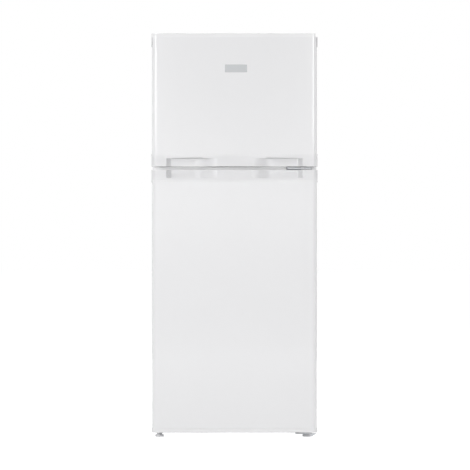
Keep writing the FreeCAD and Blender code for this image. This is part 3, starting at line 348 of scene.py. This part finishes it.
# %% [markdown]
# ## White enamel
# The cabinet and both doors are steel sheet with a sprayed and baked white enamel. It is glossy, but
# sprayed paint dries with a very fine orange peel, and large sheets are never perfectly flat. A flat white
# would look like paper, so a fine and a broad noise vary the colour, the gloss and the surface a little.

# %% Enamel
enamel = Recipe("white_enamel", Coat_Weight=0.35, Coat_Roughness=0.06, IOR=1.5)
peel, drift = enamel.noise(260, 3.0), enamel.noise(2.2, 1.0)
enamel.set(Base_Color=enamel.between(drift * 0.7 + peel * 0.1, (0.807, 0.807, 0.818), (0.831, 0.831, 0.838)),
           Roughness=peel * 0.06 + drift * 0.05 + 0.1)
enamel.bump(peel * 0.5 + drift, 0.02 * MM)
print("white_enamel")

# %% [markdown]
# ## White plastics
# The liners are one sheet of plastic drawn over a mould with a vacuum, and the grips, caps and covers are
# injection moulded. Both are white, and the drawn sheet is softer in its gloss with a faint grain. The two
# grips, above and below the slot between the doors, get painted shade. A mask by distance from the middle of
# the slot darkens them and fades out, and a second mask keeps the slot itself free of it.

# %% Liner plastic and moulded plastic
liner_plastic = Recipe("white_liner", IOR=1.5)
grain, cloud = liner_plastic.noise(900, 2.0), liner_plastic.noise(5, 2.0)
liner_plastic.set(Base_Color=liner_plastic.between(cloud, (0.80, 0.80, 0.805), (0.85, 0.85, 0.852)),
                  Roughness=grain * 0.1 + cloud * 0.08 + 0.22)
liner_plastic.bump(grain * 0.4 + cloud, 0.05 * MM)

moulded = Recipe("white_gloss", IOR=1.5, Coat_Weight=0.2, Coat_Roughness=0.08)
flow, speck = moulded.noise(9, 2.0, (1, 1, 3)), moulded.noise(700, 2.0)
# Painted shade on the grips beside the slot between the doors: full from 9 to 38 mm from its middle, fading
# out by 46 mm, and none within 6.5 mm. The same mask also makes the grips a little rougher.
SHADE_STARTS, SHADE_ENDS = (6.5 * MM, 9 * MM), (38 * MM, 46 * MM)
gap_height = (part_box("fridge_door_grip")[1].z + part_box("freezer_door_grip")[0].z) / 2
from_gap = moulded.add("Math", {"operation": "ABSOLUTE"}, {0: moulded.height() - gap_height})
fades = {"Value": from_gap, "From Min": SHADE_ENDS[0], "From Max": SHADE_ENDS[1], "To Min": 1, "To Max": 0}
begins = {"Value": from_gap, "From Min": SHADE_STARTS[0], "From Max": SHADE_STARTS[1]}
slot_shade = moulded.add("MapRange", None, fades) * moulded.add("MapRange", None, begins)
moulded.set(Base_Color=moulded.between(flow * 0.5 - slot_shade * 0.5 + 0.5,
                                       (0.69, 0.69, 0.702), (0.875, 0.875, 0.88)),
            Roughness=speck * 0.08 + flow * 0.06 + slot_shade * 0.12 + 0.14)
moulded.bump(speck, 0.01 * MM)

seal = Recipe("seal", IOR=1.5)
dust, skin = seal.noise(14, 3.0), seal.noise(1200, 2.0)
seal.set(Base_Color=seal.between(dust, (0.68, 0.68, 0.685), (0.77, 0.77, 0.772)), Roughness=skin * 0.15 + 0.5)
seal.bump(skin, 0.03 * MM)
print("white_liner, white_gloss, seal")

# %% [markdown]
# ## Clear plastic and glass
# The bins and the crisper are clear styrene with a blue cast, and the shelves are toughened glass, greener
# through its thickness. Both let light through, so transmission is set, with hardly any roughness. Alpha
# leaves a part of the surface out, which keeps sheets that lie behind each other from going dark.

# %% Clear materials
clear = Recipe("clear_plastic", IOR=1.49, Transmission_Weight=0.6, Alpha=0.5)
ripple, scuff = clear.noise(12, 1.0), clear.noise(90, 4.0)
clear.set(Base_Color=clear.between(ripple, (0.90, 0.95, 0.97), (0.95, 0.98, 0.99)),
          Roughness=scuff * 0.1 + 0.04)
clear.bump(ripple, 0.1 * MM)

glass = Recipe("shelf_glass", IOR=1.5, Transmission_Weight=0.92, Alpha=0.6)
wash, smear = glass.noise(6, 1.0), glass.noise(35, 4.0)
glass.set(Base_Color=glass.between(wash, (0.80, 0.92, 0.88), (0.86, 0.95, 0.92)),
          Roughness=smear * 0.06 + 0.01)
glass.bump(wash, 0.02 * MM)
print("clear_plastic, shelf_glass")

# %% [markdown]
# ## Metals
# The back is galvanised sheet, whose zinc crystals show as pale flakes. The evaporator is rolled
# aluminium, the hinges are plated steel, and the pipes are drawn copper that has dulled. Flakes come from
# Voronoi cells, and rolling and drawing marks from noise stretched along one direction.

# %% Zinc, aluminium, steel, silver and copper
zinc = Recipe("zinc_sheet", Metallic=0.85)
flake, cloud = zinc.cells(55, "Color"), zinc.noise(9, 2.0)
zinc.set(Base_Color=zinc.between(flake, (0.50, 0.51, 0.52), (0.70, 0.71, 0.72)),
         Roughness=flake * 0.18 + cloud * 0.1 + 0.32)
zinc.bump(flake, 0.03 * MM)

aluminium = Recipe("bare_aluminium", Metallic=0.95)
rolled = aluminium.noise(60, 3.0, (1, 1, 14))
aluminium.set(Base_Color=aluminium.between(rolled, (0.66, 0.67, 0.68), (0.80, 0.81, 0.82)),
              Roughness=rolled * 0.2 + 0.3)
aluminium.bump(rolled, 0.02 * MM)

steel = Recipe("hinge_steel", Metallic=0.9)
brushed, stain = steel.noise(320, 3.0, (1, 8, 8)), steel.noise(40, 3.0)
steel.set(Base_Color=steel.between(stain, (0.42, 0.43, 0.45), (0.56, 0.57, 0.59)),
          Roughness=brushed * 0.2 + 0.28)
steel.bump(brushed, 0.02 * MM)

silver = Recipe("satin_silver", Metallic=0.3)
satin = silver.noise(500, 2.0, (1, 1, 12))
silver.set(Base_Color=silver.between(satin, (0.37, 0.38, 0.39), (0.45, 0.46, 0.47)),
           Roughness=satin * 0.15 + 0.34)
silver.bump(satin, 0.01 * MM)

copper = Recipe("copper", Metallic=0.95)
tarnish, drawn = copper.noise(45, 4.0), copper.noise(900, 2.0)
copper.set(Base_Color=copper.between(tarnish, (0.36, 0.17, 0.09), (0.74, 0.42, 0.27)),
           Roughness=tarnish * 0.25 + 0.22)
copper.bump(drawn, 0.02 * MM)
print("five metals")

# %% [markdown]
# ## Dark paint, rubber, foam and the greyer plastics
# The compressor, its rail and the condenser are dipped in black enamel, which gathers dust. Grommets are
# rubber, and the foam shows only where it is cut: a pale honey crust full of tiny cells. The plain plastics
# differ only in three numbers, the darkest grey, the palest grey and the roughness, so one loop makes them.

# %% Dark and grey finishes
black = Recipe("black_enamel", IOR=1.5)
dusty, drip = black.noise(22, 4.0), black.noise(240, 2.0)
black.set(Base_Color=black.between(dusty, (0.012, 0.012, 0.013), (0.06, 0.058, 0.055)),
          Roughness=dusty * 0.3 + 0.22)
black.bump(drip, 0.06 * MM)

PLAIN_FINISHES = {
    "black_rubber": (0.018, 0.045, 0.62), "black_plastic": (0.02, 0.045, 0.38),
    "grey_plastic": (0.46, 0.54, 0.36), "foot_plastic": (0.6, 0.68, 0.34), "coated_wire": (0.78, 0.84, 0.24),
}
for name, (dark, pale, rough) in PLAIN_FINISHES.items():
    plain = Recipe(name, IOR=1.5)
    fine, broad = plain.noise(800, 2.0), plain.noise(30, 3.0)
    plain.set(Base_Color=plain.between(broad, (dark, dark, dark * 1.02), (pale, pale, pale * 1.01)),
              Roughness=fine * 0.12 + broad * 0.08 + rough)
    plain.bump(fine, 0.03 * MM)

foam = Recipe("foam", Roughness=0.9, IOR=1.4)
cell, crust = foam.cells(420), foam.noise(18, 3.0)
foam.set(Base_Color=foam.between(crust, (0.66, 0.53, 0.28), (0.82, 0.72, 0.46)))
foam.bump(cell, 0.4 * MM)
print(sorted(FINISHES))

# %% [markdown]
# ## The steel door fronts
# A door front is one sheet, rolled round both sides and a little way over the back. It starts as a brick:
# its long edges are rounded, its ends and the middle of its back are taken away, and what is left gets
# the thickness of the sheet. The front edges have a large round, which catches the light as a thin line.

# %% Door fronts
FRONT_ROUND, REAR_ROUND, SHEET, RETURN = 15 * MM, 4 * MM, 1 * MM, 14 * MM


def upright(join):
    """Whether an edge runs up and down."""
    return abs(join.along.z) > ALONG


def door_front(node):
    """Model the folded sheet of a door inside the box of its measured solid."""
    low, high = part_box(node)
    middle = (low + high) / 2
    piece = brick(f"{node}_folded", low, high)
    round_edges(piece, FRONT_ROUND, lambda join: upright(join) and join.middle.y < middle.y, 14)
    round_edges(piece, REAR_ROUND, upright, 4, sharper=60)
    for side in (low.x + RETURN, high.x - RETURN):
        pick(piece, "faces", lambda face: face.normal.y > ALONG)
        bpy.ops.mesh.bisect(plane_co=(side, 0, 0), plane_no=(1, 0, 0))
        out(piece)
    pick(piece, "faces", lambda face: abs(face.normal.z) > ALONG
         or (face.normal.y > ALONG and abs(face.center.x) < RETURN))
    bpy.ops.mesh.delete(type="FACE")
    out(piece)
    modifier(piece, "SOLIDIFY", thickness=SHEET, offset=-1)
    return complete(piece, node)


door_front("fridge_door_skin")
door_front("freezer_door_skin")

# %% [markdown]
# ## Grips and end caps
# The end pieces of the doors are moulded. Each moulded edge has a small round, so the measured solid is
# copied and its edges are softened. The finger recesses slope softly on one side and end in a steep wall.
# The ledge of the upper grip has a wider lip, because fingers pull there, and that lip turns away from the
# light and shows as a dark line. It starts where the recess is deep enough, so a plane cuts the edge there.

# %% Grips and caps
GRIP_ROUND, CAP_ROUND = 2 * MM, 1.2 * MM
LIP_ROUND, LIP_START = 3.7 * MM, 104 * MM


def ledge_lip(piece, low, high):
    """Round the front edge of each ledge widely, from where its recess is deep enough."""
    for side in (-1, 1):
        cut_loop(piece, (side * LIP_START, 0, 0), (1, 0, 0))
    return round_edges(piece, LIP_ROUND, lambda join: abs(join.along.x) > ALONG and not join.hollow
                       and abs(join.middle.x) > LIP_START and join.middle.y < low.y + MM
                       and low.z + LIP_ROUND < join.middle.z < high.z - LIP_ROUND, 6)


for node in ("fridge_door_grip", "freezer_door_grip"):
    grip = copy_of(node)
    if node == "freezer_door_grip":
        ledge_lip(grip, *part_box(node))
    complete(round_edges(grip, GRIP_ROUND, segments=4), node)
for node in ("fridge_door_cap", "freezer_door_cap"):
    complete(round_edges(copy_of(node), CAP_ROUND, segments=3), node)

# %% [markdown]
# ## The bare plate on the upper door
# A small plate is glued where a maker would put a name. It stays blank. A brick of its size gets rounded
# corners, and its face is inset and pushed in a little, so a thin rim stands proud around a flat field.

# %% Plate
PLATE_CORNER, PLATE_RIM, PLATE_FIELD = 1.6 * MM, 1.3 * MM, 0.35 * MM
PLATE_ROUND, PLATE_BACK = 0.12 * MM, 0.2 * MM


def sink_face(piece, wanted, rim, depth):
    """Inset the wanted faces and move what is left along an axis."""
    pick(piece, "faces", wanted)
    bpy.ops.mesh.inset(thickness=rim, use_boundary=True)
    bpy.ops.transform.translate(value=depth)
    return out(piece)


plate = brick("badge_blank", *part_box("badge_plate"))
round_edges(plate, PLATE_CORNER, lambda join: abs(join.along.y) > ALONG, 4)
sink_face(plate, lambda face: face.normal.y < -ALONG, PLATE_RIM, (0, PLATE_FIELD, 0))
plate_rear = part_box("badge_plate")[1].y - PLATE_BACK
complete(round_edges(plate, PLATE_ROUND, lambda join: join.middle.y < plate_rear), "badge_plate")

# %% [markdown]
# ## Door gaskets
# A gasket is an extruded bellows of soft vinyl with a magnet inside its widest part. Its four lengths are
# welded at mitred corners. A brick is cut through to a frame: both its large faces are inset and bridged.
# Planes then cut loops around it, and the loops of the folds are pinched towards the middle of the wall.
# Each fold is given as its share of the depth and its pinch in millimetres.

# %% Gaskets
GASKET_WALL, FOLD_ROUND = 16 * MM, 0.5 * MM
FOLDS = ((0.12, 0.6), (0.27, 2.6), (0.42, 0.4), (0.57, 2.6), (0.72, 0.0), (0.9, 0.0))


def frame_of(name, low, high, wall):
    """An upright frame: a brick with a window cut through from front to back."""
    piece = brick(name, low, high)
    pick(piece, "faces", lambda face: abs(face.normal.y) > ALONG)
    bpy.ops.mesh.inset(thickness=wall)
    bpy.ops.mesh.bridge_edge_loops()
    return out(piece)


def bellows(node):
    """Model a folded gasket in the box of its measured solid."""
    low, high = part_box(node)
    piece = frame_of(f"{node}_bellows", low, high, GASKET_WALL)
    for share, pinch in FOLDS:
        place = low.y + share * (high.y - low.y)
        cut_loop(piece, (0, place, 0), (0, 1, 0))
        if pinch:
            pick(piece, "corners", lambda corner: abs(corner.co.y - place) < NEAR)
            bpy.ops.transform.shrink_fatten(value=-pinch * MM, use_even_offset=True)
            out(piece)
    round_edges(piece, FOLD_ROUND, lambda join: abs(join.along.y) < 0.5, 2, 30)
    return complete(piece, node, smooth=60)


bellows("fridge_door_gasket")
bellows("freezer_door_gasket")

# %% [markdown]
# ## Liners of the cabinet
# Each room is lined with one sheet of plastic that is drawn over a mould while it is hot. A drawn sheet
# can't have sharp corners: inside, its corners are rounder, and the mouth that meets the door rolls over with
# a small round. So the hollow joins of the copy get a wide bevel and the proud ones a narrow one. A bevel
# that would run over its neighbours is clamped everywhere, so the corners come out narrower than asked.

# %% Drawn liners
ROOM_ROUND, MOUTH_ROUND = 13 * MM, 1.0 * MM


def drawn(node, hollow_round, proud_round, inside=lambda join: True, segments=6):
    """Round the hollow corners of a copied solid widely, and then its proud edges."""
    piece = copy_of(node)
    round_edges(piece, hollow_round, lambda join: join.hollow and inside(join), segments)
    return round_edges(piece, proud_round, lambda join: not join.hollow, 3)


def well_inside(node, margin=20 * MM):
    """A test for joins that lie away from the mouth of a room."""
    low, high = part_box(node)
    return lambda join: join.length > 60 * MM and join.middle.y > low.y + margin


for node in ("freezer_liner", "fridge_liner"):
    complete(drawn(node, ROOM_ROUND, MOUTH_ROUND, well_inside(node)), node)

# %% [markdown]
# ## Liners of the doors
# A door liner is drawn in the same way. Its rim stands into the room and carries the bins on small ribs.
# Both its hollow and its proud edges are round, and a copy takes them well.

# %% Door liners
PANEL_ROUND = 2.5 * MM
for node in ("fridge_door_liner", "freezer_door_liner"):
    complete(drawn(node, PANEL_ROUND, PANEL_ROUND, segments=4), node)

# %% [markdown]
# ## Bins, racks and the drawer
# The bins are injection moulded from clear plastic. Their upper edge is thicker, which stiffens it and
# feels kind to the hand. A plane marks off a band below the edge, and the outside of that band is then
# extruded along its normals. Only the wall that looks into the room gets this lip, not the ends or the side
# at the door. The two shares below say how far a wall may lean and how much it must look into the room.

# %% Clear bins
LIP_HEIGHT, LIP_DEPTH, BIN_ROUND = 4 * MM, 1.4 * MM, 0.6 * MM
INTO_ROOM, UPRIGHT_WALL = 0.2, 0.1


def lip(piece, top, middle, wanted=lambda face: True):
    """Thicken the outside of a wall in a band below its upper edge."""
    cut_loop(piece, (0, 0, top - LIP_HEIGHT), (0, 0, 1))

    def outside(face):
        return (abs(face.normal.z) < UPRIGHT_WALL and top - LIP_HEIGHT < face.center.z < top
                and face.normal.dot(face.center - middle) > 0 and wanted(face))

    pick(piece, "faces", outside)
    bpy.ops.mesh.extrude_region_shrink_fatten(TRANSFORM_OT_shrink_fatten={"value": LIP_DEPTH})
    return out(piece)


def tops(node):
    """The heights of the upper edges of the bins in one solid, where floors and edges take turns."""
    faces = [face for face in nodes[node].data.polygons if face.normal.z > ALONG]
    return sorted({round(face.center.z, 4) for face in faces})[1::2]


for node in ("bottle_bin", "door_bins", "freezer_racks"):
    low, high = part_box(node)
    piece = copy_of(node)
    for top in tops(node):
        lip(piece, top, (low + high) / 2, lambda face: face.normal.y > INTO_ROOM)
    complete(round_edges(piece, BIN_ROUND), node)
print({node: tops(node) for node in ("bottle_bin", "door_bins", "freezer_racks")})

# %% [markdown]
# ## Everything else that is sheet or moulding
# Most other pieces need no new shape, only edges that are no longer knife sharp. A table gives each its
# round, and a copy of the solid is softened and stands for it. The underside of each glass shelf is lifted
# a hair off what it rests on, because two faces at one place would show as a dark patch. The widths in the
# table are millimetres.

# %% Softened copies
EDGES = {
    "middle_crossbar": 0.4, "base_crossbar": 0.4, "back_panel": 0.3, "base_panel": 0.3,
    "crisper_cover_glass": 0.8, "lower_shelf_glass": 0.8, "upper_shelf_glass": 0.8, "shelf_trims": 1.6,
    "crisper_drawer": 0.9, "thermostat_housing": 2.0, "thermostat_knob": 0.8,
    "top_hinge": 0.6, "top_hinge_cover": 1.5, "middle_hinge": 0.6, "bottom_hinge": 0.6, "foot_bracket": 0.5,
    "front_foot_left": 0.8, "front_foot_right": 0.8, "rear_feet": 0.8, "compressor_rail": 0.8,
    "terminal_box": 1.5, "cable_gland": 0.6, "drip_tray": 0.8, "condenser_brackets": 0.4,
}
GLASS_LIFT = 0.3 * MM
for node, width in EDGES.items():
    piece = copy_of(node)
    if node.endswith("_glass"):
        pick(piece, "faces", lambda face: face.normal.z < -ALONG)
        bpy.ops.transform.translate(value=(0, 0, GLASS_LIFT))
        out(piece)
    complete(round_edges(piece, width * MM), node)

# %% [markdown]
# ## The steel cabinet
# The cabinet is one long sheet folded over the top and down both sides. A folder leaves a small round on
# the outside of each fold, and a smaller one inside it. Cut edges are only broken a little.

# %% Cabinet
FOLD_OUTSIDE, FOLD_INSIDE, CUT_EDGE, TOP_BAND = 3 * MM, 2 * MM, 0.3 * MM, 2 * MM
cabinet_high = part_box("cabinet_shell")[1]


def on_fold(join, width):
    """Whether an edge runs along the top of one side, outside or inside the sheet."""
    return (abs(join.along.y) > ALONG and join.middle.z > cabinet_high.z - TOP_BAND
            and join.hollow == (width == FOLD_INSIDE))


shell = copy_of("cabinet_shell")
for width in (FOLD_INSIDE, FOLD_OUTSIDE):
    round_edges(shell, width, lambda join: on_fold(join, width), 5)
complete(round_edges(shell, CUT_EDGE, sharper=60), "cabinet_shell")

# %% [markdown]
# ## Screws
# Screws hold the hinges. All are alike, so one is modelled and copied. The measured ones could be left as
# they are, but a driver needs a socket. So the face below a cylinder is inset and extruded to a shank, and
# the face above is inset and pushed in.

# %% One screw
SCREW_SIDES, SCREW_ROUND = 36, 0.4 * MM
SCREW_HEAD, SCREW_SHANK, SCREW_RISE = 4.5 * MM, 2.4 * MM, 2.4 * MM
SOCKET_RADIUS, SOCKET_DEPTH, PLATE_DEPTH = 2.6 * MM, 1.3 * MM, 3 * MM


def push_in(piece, way, rim, depth):
    """Inset the round end that looks up or down, and extrude what is left along the axis."""
    pick(piece, "faces", lambda face: face.normal.z * way > ALONG and len(face.vertices) == SCREW_SIDES)
    bpy.ops.mesh.inset(thickness=rim)
    bpy.ops.mesh.extrude_region_move(TRANSFORM_OT_translate={"value": (0, 0, depth)})
    return out(piece)


bpy.ops.object.select_all(action="DESELECT")
bpy.ops.mesh.primitive_cylinder_add(vertices=SCREW_SIDES, radius=SCREW_HEAD, depth=SCREW_RISE)
screw = bpy.context.object
push_in(screw, -1, SCREW_HEAD - SCREW_SHANK, -PLATE_DEPTH)
push_in(screw, 1, SCREW_HEAD - SOCKET_RADIUS, -SOCKET_DEPTH)
round_edges(screw, SCREW_ROUND, segments=3)
print("one screw,", len(screw.data.polygons), "faces")

# %% [markdown]
# ## A copy for every screw
# The measured screws arrive together in one mesh. Once it is parted, the box of each loose piece tells
# where a copy goes and whether it stands upright or points backwards. This keeps every screw at its
# measured place by itself.

# %% Copies of the screw
measured = copy_of("hinge_screws")
pick(measured, "faces", lambda face: True)
bpy.ops.mesh.separate(type="LOOSE")
out(measured)
spots = list(bpy.context.selected_objects)
screws = []
for spot in spots:
    corners = [vertex.co for vertex in spot.data.vertices]
    low = Vector([min(corner[axis] for corner in corners) for axis in range(3)])
    high = Vector([max(corner[axis] for corner in corners) for axis in range(3)])
    stands = high.y - low.y > high.z - low.z
    middle = (low + high) / 2
    copied = bpy.data.objects.new("screw", screw.data.copy())
    bpy.context.collection.objects.link(copied)
    copied.location = ((middle.x, middle.y, high.z - SCREW_RISE / 2) if stands
                       else (middle.x, low.y + SCREW_RISE / 2, middle.z))
    copied.rotation_euler = (0, 0, 0) if stands else (radians(90), 0, 0)
    screws.append(copied)
bpy.ops.object.select_all(action="DESELECT")
for spot in [screw, *spots]:
    spot.select_set(True)
bpy.ops.object.delete()
print(len(screws), "screws at", [tuple(round(c, 3) for c in copied.location) for copied in screws])
alone(screws[0])
for copied in screws:
    copied.select_set(True)
bpy.ops.object.transform_apply(location=True, rotation=True, scale=True)
bpy.ops.object.join()
screws[0].name = "hinge_screws_socketed"
complete(screws[0], "hinge_screws")

# %% [markdown]
# ## Lamp lens
# The lens over the lamp is ribbed from below, which spreads the light. Planes cut the underside into
# strips, and every other strip is extruded down a little.

# %% Ribbed lens
lens = copy_of("lamp_lens")
lens_low, lens_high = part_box("lamp_lens")
RIBS, RIB_DEPTH, RIB_ROUND, LENS_MARGIN = 17, 0.8 * MM, 0.25 * MM, 6 * MM
rib_pitch = (lens_high.x - lens_low.x - 2 * LENS_MARGIN) / RIBS
for rib in range(RIBS + 1):
    cut_loop(lens, (lens_low.x + LENS_MARGIN + rib * rib_pitch, 0, 0), (1, 0, 0))


def under_rib(face):
    """Whether a face of the underside lies in an even strip."""
    strip = (face.center.x - lens_low.x - LENS_MARGIN) / rib_pitch
    underside = face.normal.z < -ALONG and face.center.z < lens_low.z + NEAR
    return underside and 0 < strip < RIBS and int(strip) % 2 == 0


pick(lens, "faces", under_rib)
bpy.ops.mesh.extrude_region_move(TRANSFORM_OT_translate={"value": (0, 0, -RIB_DEPTH)})
out(lens)
complete(round_edges(lens, RIB_ROUND), "lamp_lens")

# %% [markdown]
# ## Numbers on the dial
# The thermostat has plain numbers around its face, from 0 for off to 5 for coldest. Each is a text object
# that is turned into a mesh with some thickness and laid on the underside of the dial.

# %% Dial numbers
dial_low, dial_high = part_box("thermostat_knob")
dial_middle = (dial_low + dial_high) / 2
DIAL_TEXT, DIAL_RING, DIAL_FACE, DIAL_DEPTH = 5 * MM, 14 * MM, 5 * MM, 0.15 * MM
COLDEST, DIAL_START, DIAL_STEP = 5, 125, 50
marks = []
for number in range(COLDEST + 1):
    turn = radians(DIAL_START - DIAL_STEP * number)
    bpy.ops.object.select_all(action="DESELECT")
    bpy.ops.object.text_add(rotation=(pi, 0, turn))
    mark = bpy.context.object
    mark.data.body, mark.data.size, mark.data.extrude = str(number), DIAL_TEXT, DIAL_DEPTH
    mark.data.align_x = mark.data.align_y = "CENTER"
    mark.location = (dial_middle.x + DIAL_RING * sin(turn), dial_middle.y + DIAL_RING * cos(turn),
                     dial_low.z + DIAL_FACE)
    bpy.ops.object.convert(target="MESH")
    bpy.ops.object.transform_apply(location=True, rotation=True, scale=True)
    marks.append(bpy.context.object)
bpy.ops.object.select_all(action="DESELECT")
for mark in marks:
    mark.select_set(True)
bpy.context.view_layer.objects.active = marks[0]
bpy.ops.object.join()
numbers = bpy.context.object
numbers.name = "dial_numbers"
complete(numbers, like="thermostat_knob")
numbers.data.materials[0] = FINISHES["black_plastic"]

# %% [markdown]
# ## Compressor
# The compressor is a pot of two drawn halves welded at a seam. Drawn steel has wide, soft shoulders, so
# all its rims get a larger round than the sheet pieces do.

# %% Compressor
SHOULDER = 3 * MM
complete(round_edges(copy_of("compressor"), SHOULDER, lambda join: not join.hollow, 4), "compressor")

# %% [markdown]
# ## Solids that stay as they are
# The pipes, the condenser's wires, the filter drier, the evaporator, the wire shelf, the bulb, the switch,
# the bushes, the grommets and the foam have a fair shape as they come, and many of them are hidden.
# Modelling them again would show little, so they only get a finish. The loop goes over all the solids, since
# those that another piece stands for don't show anyway.

# %% Finishes for the solids that stay
for node, solid in nodes.items():
    for slot in solid.material_slots:
        slot.material = FINISHES[SLOT_OF[node]]
print("finishes given to", len(nodes), "measured solids")

# %% [markdown]
# ## The pale room
# The world stands for a pale room around the object. As a light it is weak, so that it doesn't flatten the
# shapes. To the camera, in mirrors and through glass it is plain white, since Light Path tells those rays
# apart. A stronger world would give the same white, but it would wash out the object as well.

# %% World
ROOM_LIGHT = 0.085


def looked_at(tree, path):
    """Whether a ray comes from the camera, from a mirror or through glass."""
    seen = path.outputs["Is Camera Ray"]
    for other in ("Is Glossy Ray", "Is Transmission Ray"):
        either = tree.nodes.new("ShaderNodeMath")
        either.operation = "MAXIMUM"
        tree.links.new(seen, either.inputs[0])
        tree.links.new(path.outputs[other], either.inputs[1])
        seen = either.outputs[0]
    return seen


scene = bpy.context.scene
scene.view_settings.view_transform = "Standard"
world = bpy.data.worlds.new("pale_room")
world.use_nodes = True
scene.world = world
tree = world.node_tree
tree.nodes.clear()
room, backdrop, mix, path, surface = (
    tree.nodes.new(kind) for kind in ("ShaderNodeBackground", "ShaderNodeBackground", "ShaderNodeMixShader",
                                      "ShaderNodeLightPath", "ShaderNodeOutputWorld"))
room.inputs["Color"].default_value = (1, 1, 1, 1)
room.inputs["Strength"].default_value = ROOM_LIGHT
backdrop.inputs["Color"].default_value = (1, 1, 1, 1)
tree.links.new(looked_at(tree, path), mix.inputs["Fac"])
tree.links.new(room.outputs[0], mix.inputs[1])
tree.links.new(backdrop.outputs[0], mix.inputs[2])
tree.links.new(mix.outputs[0], surface.inputs["Surface"])
print("world lights with", ROOM_LIGHT)

# %% [markdown]
# ## The floor
# The object stands on a plain floor. Its matt grey throws light back up at the object, so a paler one would
# brighten the doors from below. Rays that are looked at get an even glow on top of the matt part, which
# brings the floor up to the white of the room. The matt part still takes the object's shadow, but beside
# this glow the shadow is too faint to show. A weaker glow would give a greyer floor.

# %% Floor
FLOOR_SIZE, FLOOR_GREY, FLOOR_GLOW = 60, 0.5, 0.965
bpy.ops.object.select_all(action="DESELECT")
bpy.ops.mesh.primitive_plane_add(size=FLOOR_SIZE)
floor = bpy.context.object
floor.name = "floor"
ground = bpy.data.materials.new("pale_floor")
ground.use_nodes = True
tree = ground.node_tree
tree.nodes.clear()
matt, glow, seen, path, surface = (
    tree.nodes.new(kind) for kind in ("ShaderNodeBsdfDiffuse", "ShaderNodeEmission", "ShaderNodeMixShader",
                                      "ShaderNodeLightPath", "ShaderNodeOutputMaterial"))
matt.inputs["Color"].default_value = (FLOOR_GREY, FLOOR_GREY, FLOOR_GREY, 1)
both = tree.nodes.new("ShaderNodeAddShader")
glow.inputs["Strength"].default_value = FLOOR_GLOW
tree.links.new(matt.outputs[0], both.inputs[0])
tree.links.new(glow.outputs[0], both.inputs[1])
tree.links.new(looked_at(tree, path), seen.inputs["Fac"])
tree.links.new(matt.outputs[0], seen.inputs[1])
tree.links.new(both.outputs[0], seen.inputs[2])
tree.links.new(seen.outputs[0], surface.inputs["Surface"])
floor.data.materials.append(ground)
print("floor", FLOOR_SIZE, "m square")

# %% [markdown]
# ## Soft boxes
# A studio lights white goods with large soft sources. Two boxes left and right of the camera show only in
# mirrors: their lower edge is 1.1 m above the floor, so they draw a bright line down the rounded edges of the
# upper door. The others only light the object: a key from the left, a weaker fill from the right, a long bar
# in front that reaches into the slot between the doors, a low one near the floor, and sheets at the left,
# the right, the back and the top. Small lamps would give hard spots and shadows instead. Each line has the
# place, the point that the box faces, its width and height, and its level.

# %% Soft boxes
def soft_box(name, place, aim, size, level, mirrored=False):
    """A rectangular lamp that faces a point, as bright as a white sheet times its level."""
    lamp = bpy.data.lights.new(name, "AREA")
    lamp.shape = "RECTANGLE"
    lamp.size, lamp.size_y = size
    lamp.energy = level * pi * size[0] * size[1]
    holder = bpy.data.objects.new(name, lamp)
    bpy.context.collection.objects.link(holder)
    holder.location = place
    holder.rotation_euler = (Vector(aim) - Vector(place)).to_track_quat("-Z", "Y").to_euler()
    holder.visible_camera = False
    holder.visible_glossy = mirrored
    holder.visible_diffuse = not mirrored
    print(name, "at", place)


soft_box("left_strip", (-1.2, -3.4, 1.45), (0, -0.28, 1.45), (1.3, 0.7), 8, mirrored=True)
soft_box("right_strip", (1.2, -3.4, 1.45), (0, -0.28, 1.45), (1.3, 0.7), 8, mirrored=True)
soft_box("left_key", (-4.0, -2.9, 2.6), (0, -0.28, 0.95), (2.2, 1.6), 6.6)
soft_box("right_fill", (5.0, -1.7, 2.2), (0, -0.28, 0.7), (2.4, 2.0), 2.9)
soft_box("front_bar", (0, -5.4, 0.889), (0, -0.28, 0.889), (3.4, 0.6), 23.4)
soft_box("low_bounce", (0, -1.5, 0.03), (0, -0.28, 0.25), (2.0, 0.3), 1.1)
soft_box("left_sheet", (-3.4, 1.0, 1.3), (0, 0, 0.7), (2.4, 2.0), 2.2)
soft_box("right_sheet", (3.4, 0.6, 1.3), (0, 0, 0.7), (2.4, 2.0), 2.0)
soft_box("back_sheet", (0, 3.8, 1.3), (0, 0.2, 0.7), (2.6, 2.0), 2.6)
soft_box("top_sheet", (0, 1.3, 3.3), (0, 0.9, 1.3), (2.2, 2.2), 2.7)

# %% [markdown]
# ## Camera
# The camera stands level in front of the object, at about half its height and far away. A near one with a
# short lens would make the doors look large and what lies behind them small. A long lens hardly does.

# %% Camera
DOOR_FACE, DISTANCE, EYE_SIDE, EYE_HEIGHT = -0.277, 6.6, 0.0017, 0.669
SENSOR, FOCAL_LENGTH = 36, 154.5
camera = bpy.data.objects.new("camera", bpy.data.cameras.new("camera"))
bpy.context.collection.objects.link(camera)
camera.location = (EYE_SIDE, DOOR_FACE - DISTANCE, EYE_HEIGHT)
camera.rotation_euler = (radians(90), 0, 0)
camera.data.sensor_width, camera.data.lens = SENSOR, FOCAL_LENGTH
scene.camera = camera
print("camera at", tuple(camera.location))
